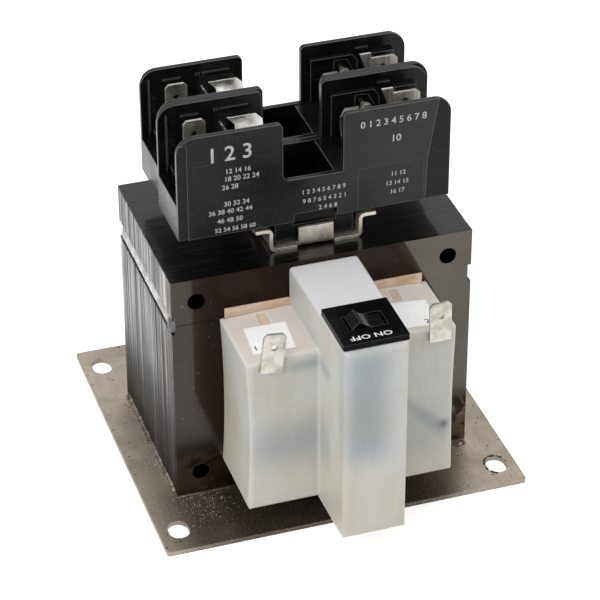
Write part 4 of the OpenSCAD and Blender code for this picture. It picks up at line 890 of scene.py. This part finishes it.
# %% [markdown]
# The drops lie in four crowds: a row along the left foot, a thick cloud at the front left corner, a
# thin line down the plate's left side, and a light dusting along the front. Each crowd says how
# many drops it has, how the dice places one, and how small and large they are. Drops that would
# hang over the plate's edge or a mounting slot are left out.

# %% Weld spatter
SLOT_X_MM, SLOT_Y_MM = 48.05, 42.4
CLEAR_X_MM, CLEAR_Y_MM = 3.6, 4.6
REACH_X_MM, REACH_Y_MM = 53, 50.5
dice = random.Random(11)
CROWDS = (
    (170, lambda: (core_low.x / MM - abs(dice.gauss(0.3, 1.0)) - 0.9, dice.uniform(-27, 24)),
     (0.08, 0.22)),
    (420, lambda: (dice.gauss(-38, 4.5), min(-28.2, dice.gauss(-32.5, 4.5))), (0.06, 0.21)),
    (70, lambda: (dice.gauss(-47, 2.5), dice.uniform(-45, 30)), (0.06, 0.15)),
    (110, lambda: (dice.uniform(-30, 45), dice.uniform(-48, -29)), (0.05, 0.14)),
)


def on_steel(x, y):
    """True inside the plate's edges and clear of its slots."""
    at_slot = abs(abs(x) - SLOT_X_MM) < CLEAR_X_MM and abs(abs(y) - SLOT_Y_MM) < CLEAR_Y_MM
    return abs(x) < REACH_X_MM and abs(y) < REACH_Y_MM and not at_slot


spots = [(*drop_at(), plate_top_mm, dice.uniform(*radii))
         for count, drop_at, radii in CROWDS for _ in range(count)]
spots = [spot for spot in spots if on_steel(*spot[:2])]
spatter = scatter_drops("weld_spatter", spots, spatter_metal)
print("drops:", len(spots), "faces:", len(spatter.data.polygons))

# %% [markdown]
# Varnish that drained off the plate gathered round the front right slot and baked there as a row of
# dark beads, thick at the slot's back edge and at its front left. They are drops again, placed by
# an angle round the slot.

# %% Varnish beads at a slot
RIM_X_MM, RIM_Y_MM = 3.3, 4.25
varnish = mottled("varnish_baked_brown", "#1a1412", "#33271f", 0.25, FINE_GRAIN_MM, 0.01)
rim_dice = random.Random(17)
beads = []
for degrees in ([rim_dice.gauss(98, 30) for _ in range(30)]
                + [rim_dice.gauss(216, 15) for _ in range(16)]):
    angle = math.radians(degrees)
    beads.append((SLOT_X_MM + RIM_X_MM * math.cos(angle), RIM_Y_MM * math.sin(angle) - SLOT_Y_MM,
                  plate_top_mm, rim_dice.uniform(0.18, 0.5)))
drips = scatter_drops("varnish_beads", beads, varnish)
print("varnish beads:", len(beads), "faces:", len(drips.data.polygons))

# %% [markdown]
# One small tack weld shows at the front right, where the core's front sheet meets the plate: a flat
# button of metal in a dark ring of burnt varnish. Both are turned from a profile, a little out of
# true, because no drop of weld is a perfect circle.

# %% Tack weld at the front
TURN_POINTS = 28
OUT_OF_TRUE = 0.05
TACK_AT_MM = (41.6, -29.6, plate_top_mm)
BUTTON_MM = ((0.95, -0.1), (0.9, 0.2), (0.7, 0.4), (0.4, 0.5), (0.1, 0.52))
BURN_RING_MM = ((2.0, 0.0), (1.85, 0.16), (1.5, 0.22), (1.2, 0.1))


def turned_button(name, centre_mm, profile_mm, finish):
    """Turns a profile of radii and heights round an upright axis."""
    points, faces = [], []
    for j, (radius, height) in enumerate(profile_mm):
        for k in range(TURN_POINTS):
            a = 2 * math.pi * k / TURN_POINTS
            r = radius * (1 + OUT_OF_TRUE * math.sin(3 * a + j))
            points.append((centre_mm[0] + r * math.cos(a), centre_mm[1] + r * math.sin(a),
                           centre_mm[2] + height))
    for j in range(len(profile_mm) - 1):
        for k in range(TURN_POINTS):
            a, b = j * TURN_POINTS + k, j * TURN_POINTS + (k + 1) % TURN_POINTS
            faces.append((a, b, b + TURN_POINTS, a + TURN_POINTS))
    faces.append(tuple((len(profile_mm) - 1) * TURN_POINTS + k for k in range(TURN_POINTS)))
    return add_piece(name, points, faces, finish)


button = turned_button("tack_button", TACK_AT_MM, BUTTON_MM, dull_weld)
burn = turned_button("tack_burn_ring", TACK_AT_MM, BURN_RING_MM, dull_weld)
print("tack faces:", len(button.data.polygons) + len(burn.data.polygons))

# %% [markdown]
# Print stands a few hundredths of a millimetre proud, as screen ink does. A picture of it would
# need an image file, so each line is a font curve, turned into a mesh, scaled to a real height and
# laid in the face. An offset fattens the strokes a little, as ink spreads.

# %% Print
INK_PROUD_MM = 0.03
INK_SPREAD = 0.012


def print_marks(name, text, height_mm, centre_mm, right, up, ink, wide=1.0):
    """Lays a line of plain marks in a face; right and up are directions in that face."""
    curve = bpy.data.curves.new(name + "_curve", "FONT")
    curve.body = text
    curve.offset = INK_SPREAD
    curve.resolution_u = 3
    holder = bpy.data.objects.new(name + "_curve", curve)
    scene.collection.objects.link(holder)
    bpy.context.view_layer.update()
    flat = bpy.data.meshes.new_from_object(holder)
    bpy.data.objects.remove(holder)
    xs, ys = [v.co.x for v in flat.vertices], [v.co.y for v in flat.vertices]
    scale = height_mm / (max(ys) - min(ys))
    middle = Vector(((max(xs) + min(xs)) / 2, (max(ys) + min(ys)) / 2))
    right, up = Vector(right).normalized(), Vector(up).normalized()
    centre = Vector(centre_mm) + right.cross(up) * INK_PROUD_MM
    points = [centre + right * ((v.co.x - middle.x) * scale * wide)
              + up * ((v.co.y - middle.y) * scale) for v in flat.vertices]
    faces = [tuple(face.vertices) for face in flat.polygons]
    bpy.data.meshes.remove(flat)
    return add_piece(name, points, faces, ink, smooth=False)


print("ink stands proud by", INK_PROUD_MM, "mm")

# %% [markdown]
# The block's front wall carries rows of plain figures, and the bezel's marks say which way is on.
# All rows on the wall are laid alike, so one short function lays them.

# %% Large figures and the bezel's marks
wall_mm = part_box("pole_housing_front")[0][1] / MM
bezel_top_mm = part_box("protector_bezel")[1][2] / MM


def wall_row(name, text, x, z, height_mm, sunk_mm=0):
    """One row of figures in the block's front wall, or in a panel that is sunk in it."""
    return print_marks(name, text, height_mm, (x, wall_mm + sunk_mm, z), (1, 0, 0), (0, 0, 1),
                       pale_ink)


prints = [
    wall_row("wall_figures_left", "1 2 3", -24.0, 107.6, 4.6),
    wall_row("wall_figures_right", "0 1 2 3 4 5 6 7 8", 22.4, 109.3, 2.1),
    wall_row("wall_figures_small", "10", 23.4, 103.7, 2.2),
    print_marks("bezel_marks", "ON OFF", 1.9, (-0.7, -68.6, bezel_top_mm), (-1, 0, 0), (0, -1, 0),
                white_ink, wide=1.25),
]
print("print:", {piece.name: len(piece.data.polygons) for piece in prints})

# %% [markdown]
# Thirteen smaller rows fill the rest of the wall, the last three of them in a panel that is sunk by
# 0.15 mm.

# %% Small figures on the wall
PANEL_SUNK_MM = 0.15
ROWS = (
    ("12 14 16", -22.0, 102.0, 1.5), ("18 20 22 24", -21.0, 99.6, 1.5), ("26 28", -24.5, 97.1, 1.5),
    ("30 32 34", -22.7, 91.8, 1.5), ("36 38 40 42 44", -24.5, 89.5, 1.5),
    ("46 48 50", -24.7, 86.7, 1.5), ("52 54 56 58 60", -23.2, 83.8, 1.4),
    ("1 2 3 4 5 6 7 8 9", 2.4, 91.3, 1.4), ("9 8 7 6 5 4 3 2 1", 2.4, 88.4, 1.4),
    ("2 4 6 8", 3.5, 85.7, 1.4), ("11 12", 24.2, 92.3, 1.4, PANEL_SUNK_MM),
    ("13 14 15", 23.9, 89.4, 1.4, PANEL_SUNK_MM), ("16 17", 24.0, 86.6, 1.4, PANEL_SUNK_MM),
)
for number, row in enumerate(ROWS, 1):
    wall_row(f"wall_row_{number:02d}", *row)
print("rows:", len(ROWS))

# %% [markdown]
# Each label carries one small figure. A label lies on the crowned top of its box, so its print
# leans with it: the lean comes from the crown's radius, the height from the label's own mesh.

# %% Label figures
CROWN_RADIUS_MM = 420.6
NEAR_MM = 6
FIGURE_MM = 2.0
for name, text, x, y in (("left", "1", -25.4, -45.2), ("right", "2", 23.3, -47.6)):
    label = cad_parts["label_" + name].data
    crest = max((v.co for v in label.vertices if abs(v.co.x - x * MM) < NEAR_MM * MM),
                key=lambda co: co.z)
    lean = -x / CROWN_RADIUS_MM
    height = crest.z / MM - (abs(x) - abs(crest.x / MM)) * abs(lean)
    print_marks("label_figure_" + name, text, FIGURE_MM, (x, y, height), (1, 0, lean), (0, 1, 0),
                black_ink)
    print(name, "label's figure at height", round(height, 2))

# %% [markdown]
# The object stands on a pale floor in a white surround, as on a packing table under a tent. The
# floor is an ordinary near-white surface that takes the shadow. For the camera, and for what metal
# mirrors, it also glows a little, so that it reaches plain white without any more light on the
# object. The surround works the same way.

# %% Floor and surround
FLOOR_SIZE = 6.0
FLOOR_GAP_MM = 0.05


def seen_directly(tree):
    """1 for the camera and for mirrored or bent rays, 0 for light that falls on things."""
    rays = add_node(tree, "LightPath").outputs
    bounced = add_node(tree, "Math", {0: rays["Is Glossy Ray"], 1: rays["Is Transmission Ray"]},
                       operation="MAXIMUM")
    return add_node(tree, "Math", {0: rays["Is Camera Ray"], 1: bounced}, operation="MAXIMUM")


def pale_floor():
    material, tree, shader, place = begin("floor_card_pale", Roughness=0.9)
    mottle = patches(tree, place, (40, 40, 40))
    feed(tree, shader, {"Base Color": coats(tree, "#e8e8e8", (mottle, "#e4e4e4", 0.5))})
    glow = add_node(tree, "Emission", {"Color": "#ffffff", "Strength": add_node(
        tree, "Math", {0: seen_directly(tree), 1: 0.6}, operation="MULTIPLY")})
    both = add_node(tree, "AddShader", {0: shader, 1: glow})
    feed(tree, tree.nodes["Material Output"], {"Surface": both})
    return material


half = FLOOR_SIZE / 2
floor_mesh = bpy.data.meshes.new("floor")
floor_mesh.from_pydata(
    [(-half, -half, 0), (half, -half, 0), (half, half, 0), (-half, half, 0)], [], [(0, 1, 2, 3)])
floor_mesh.materials.append(pale_floor())
floor = bpy.data.objects.new("floor", floor_mesh)
floor.location.z = cad_low.z - FLOOR_GAP_MM * MM
scene.collection.objects.link(floor)

world = bpy.data.worlds.new("studio")
world.use_nodes = True
scene.world = world
sky = world.node_tree
feed(sky, sky.nodes["Background"], {"Color": "#ffffff", "Strength": add_node(
    sky, "Math", {0: seen_directly(sky), 1: 0.55, 2: 0.45}, operation="MULTIPLY_ADD")})
print("floor at mm:", in_mm(floor.location))

# %% [markdown]
# Three large soft lamps do the rest, because small ones would draw hard shadows and sharp points of
# light. The key comes from the left and lights the covers' left walls, a weak fill keeps the right
# side readable, and the top lamp lies in the varnish as a highlight.

# %% Lamps
LOOK_AT = Vector((0, 0, 0.05))


def soft_lamp(name, place, size, watts):
    """A square lamp that looks at the object's middle."""
    lamp = bpy.data.objects.new(name, bpy.data.lights.new(name, "AREA"))
    lamp.data.size = size
    lamp.data.energy = watts
    lamp.location = place
    lamp.rotation_euler = (LOOK_AT - Vector(place)).to_track_quat("-Z", "Y").to_euler()
    scene.collection.objects.link(lamp)
    return lamp


lamps = [
    soft_lamp("key", (-1.05, -0.7, 1.0), 0.9, 9.5),
    soft_lamp("fill", (0.9, -0.7, 0.7), 0.9, 2.6),
    soft_lamp("top", (0.0, 0.2, 1.3), 1.2, 7.5),
]
print("lamps in watts:", {lamp.name: round(lamp.data.energy, 1) for lamp in lamps})

# %% [markdown]
# Dressing must not make the object bigger.
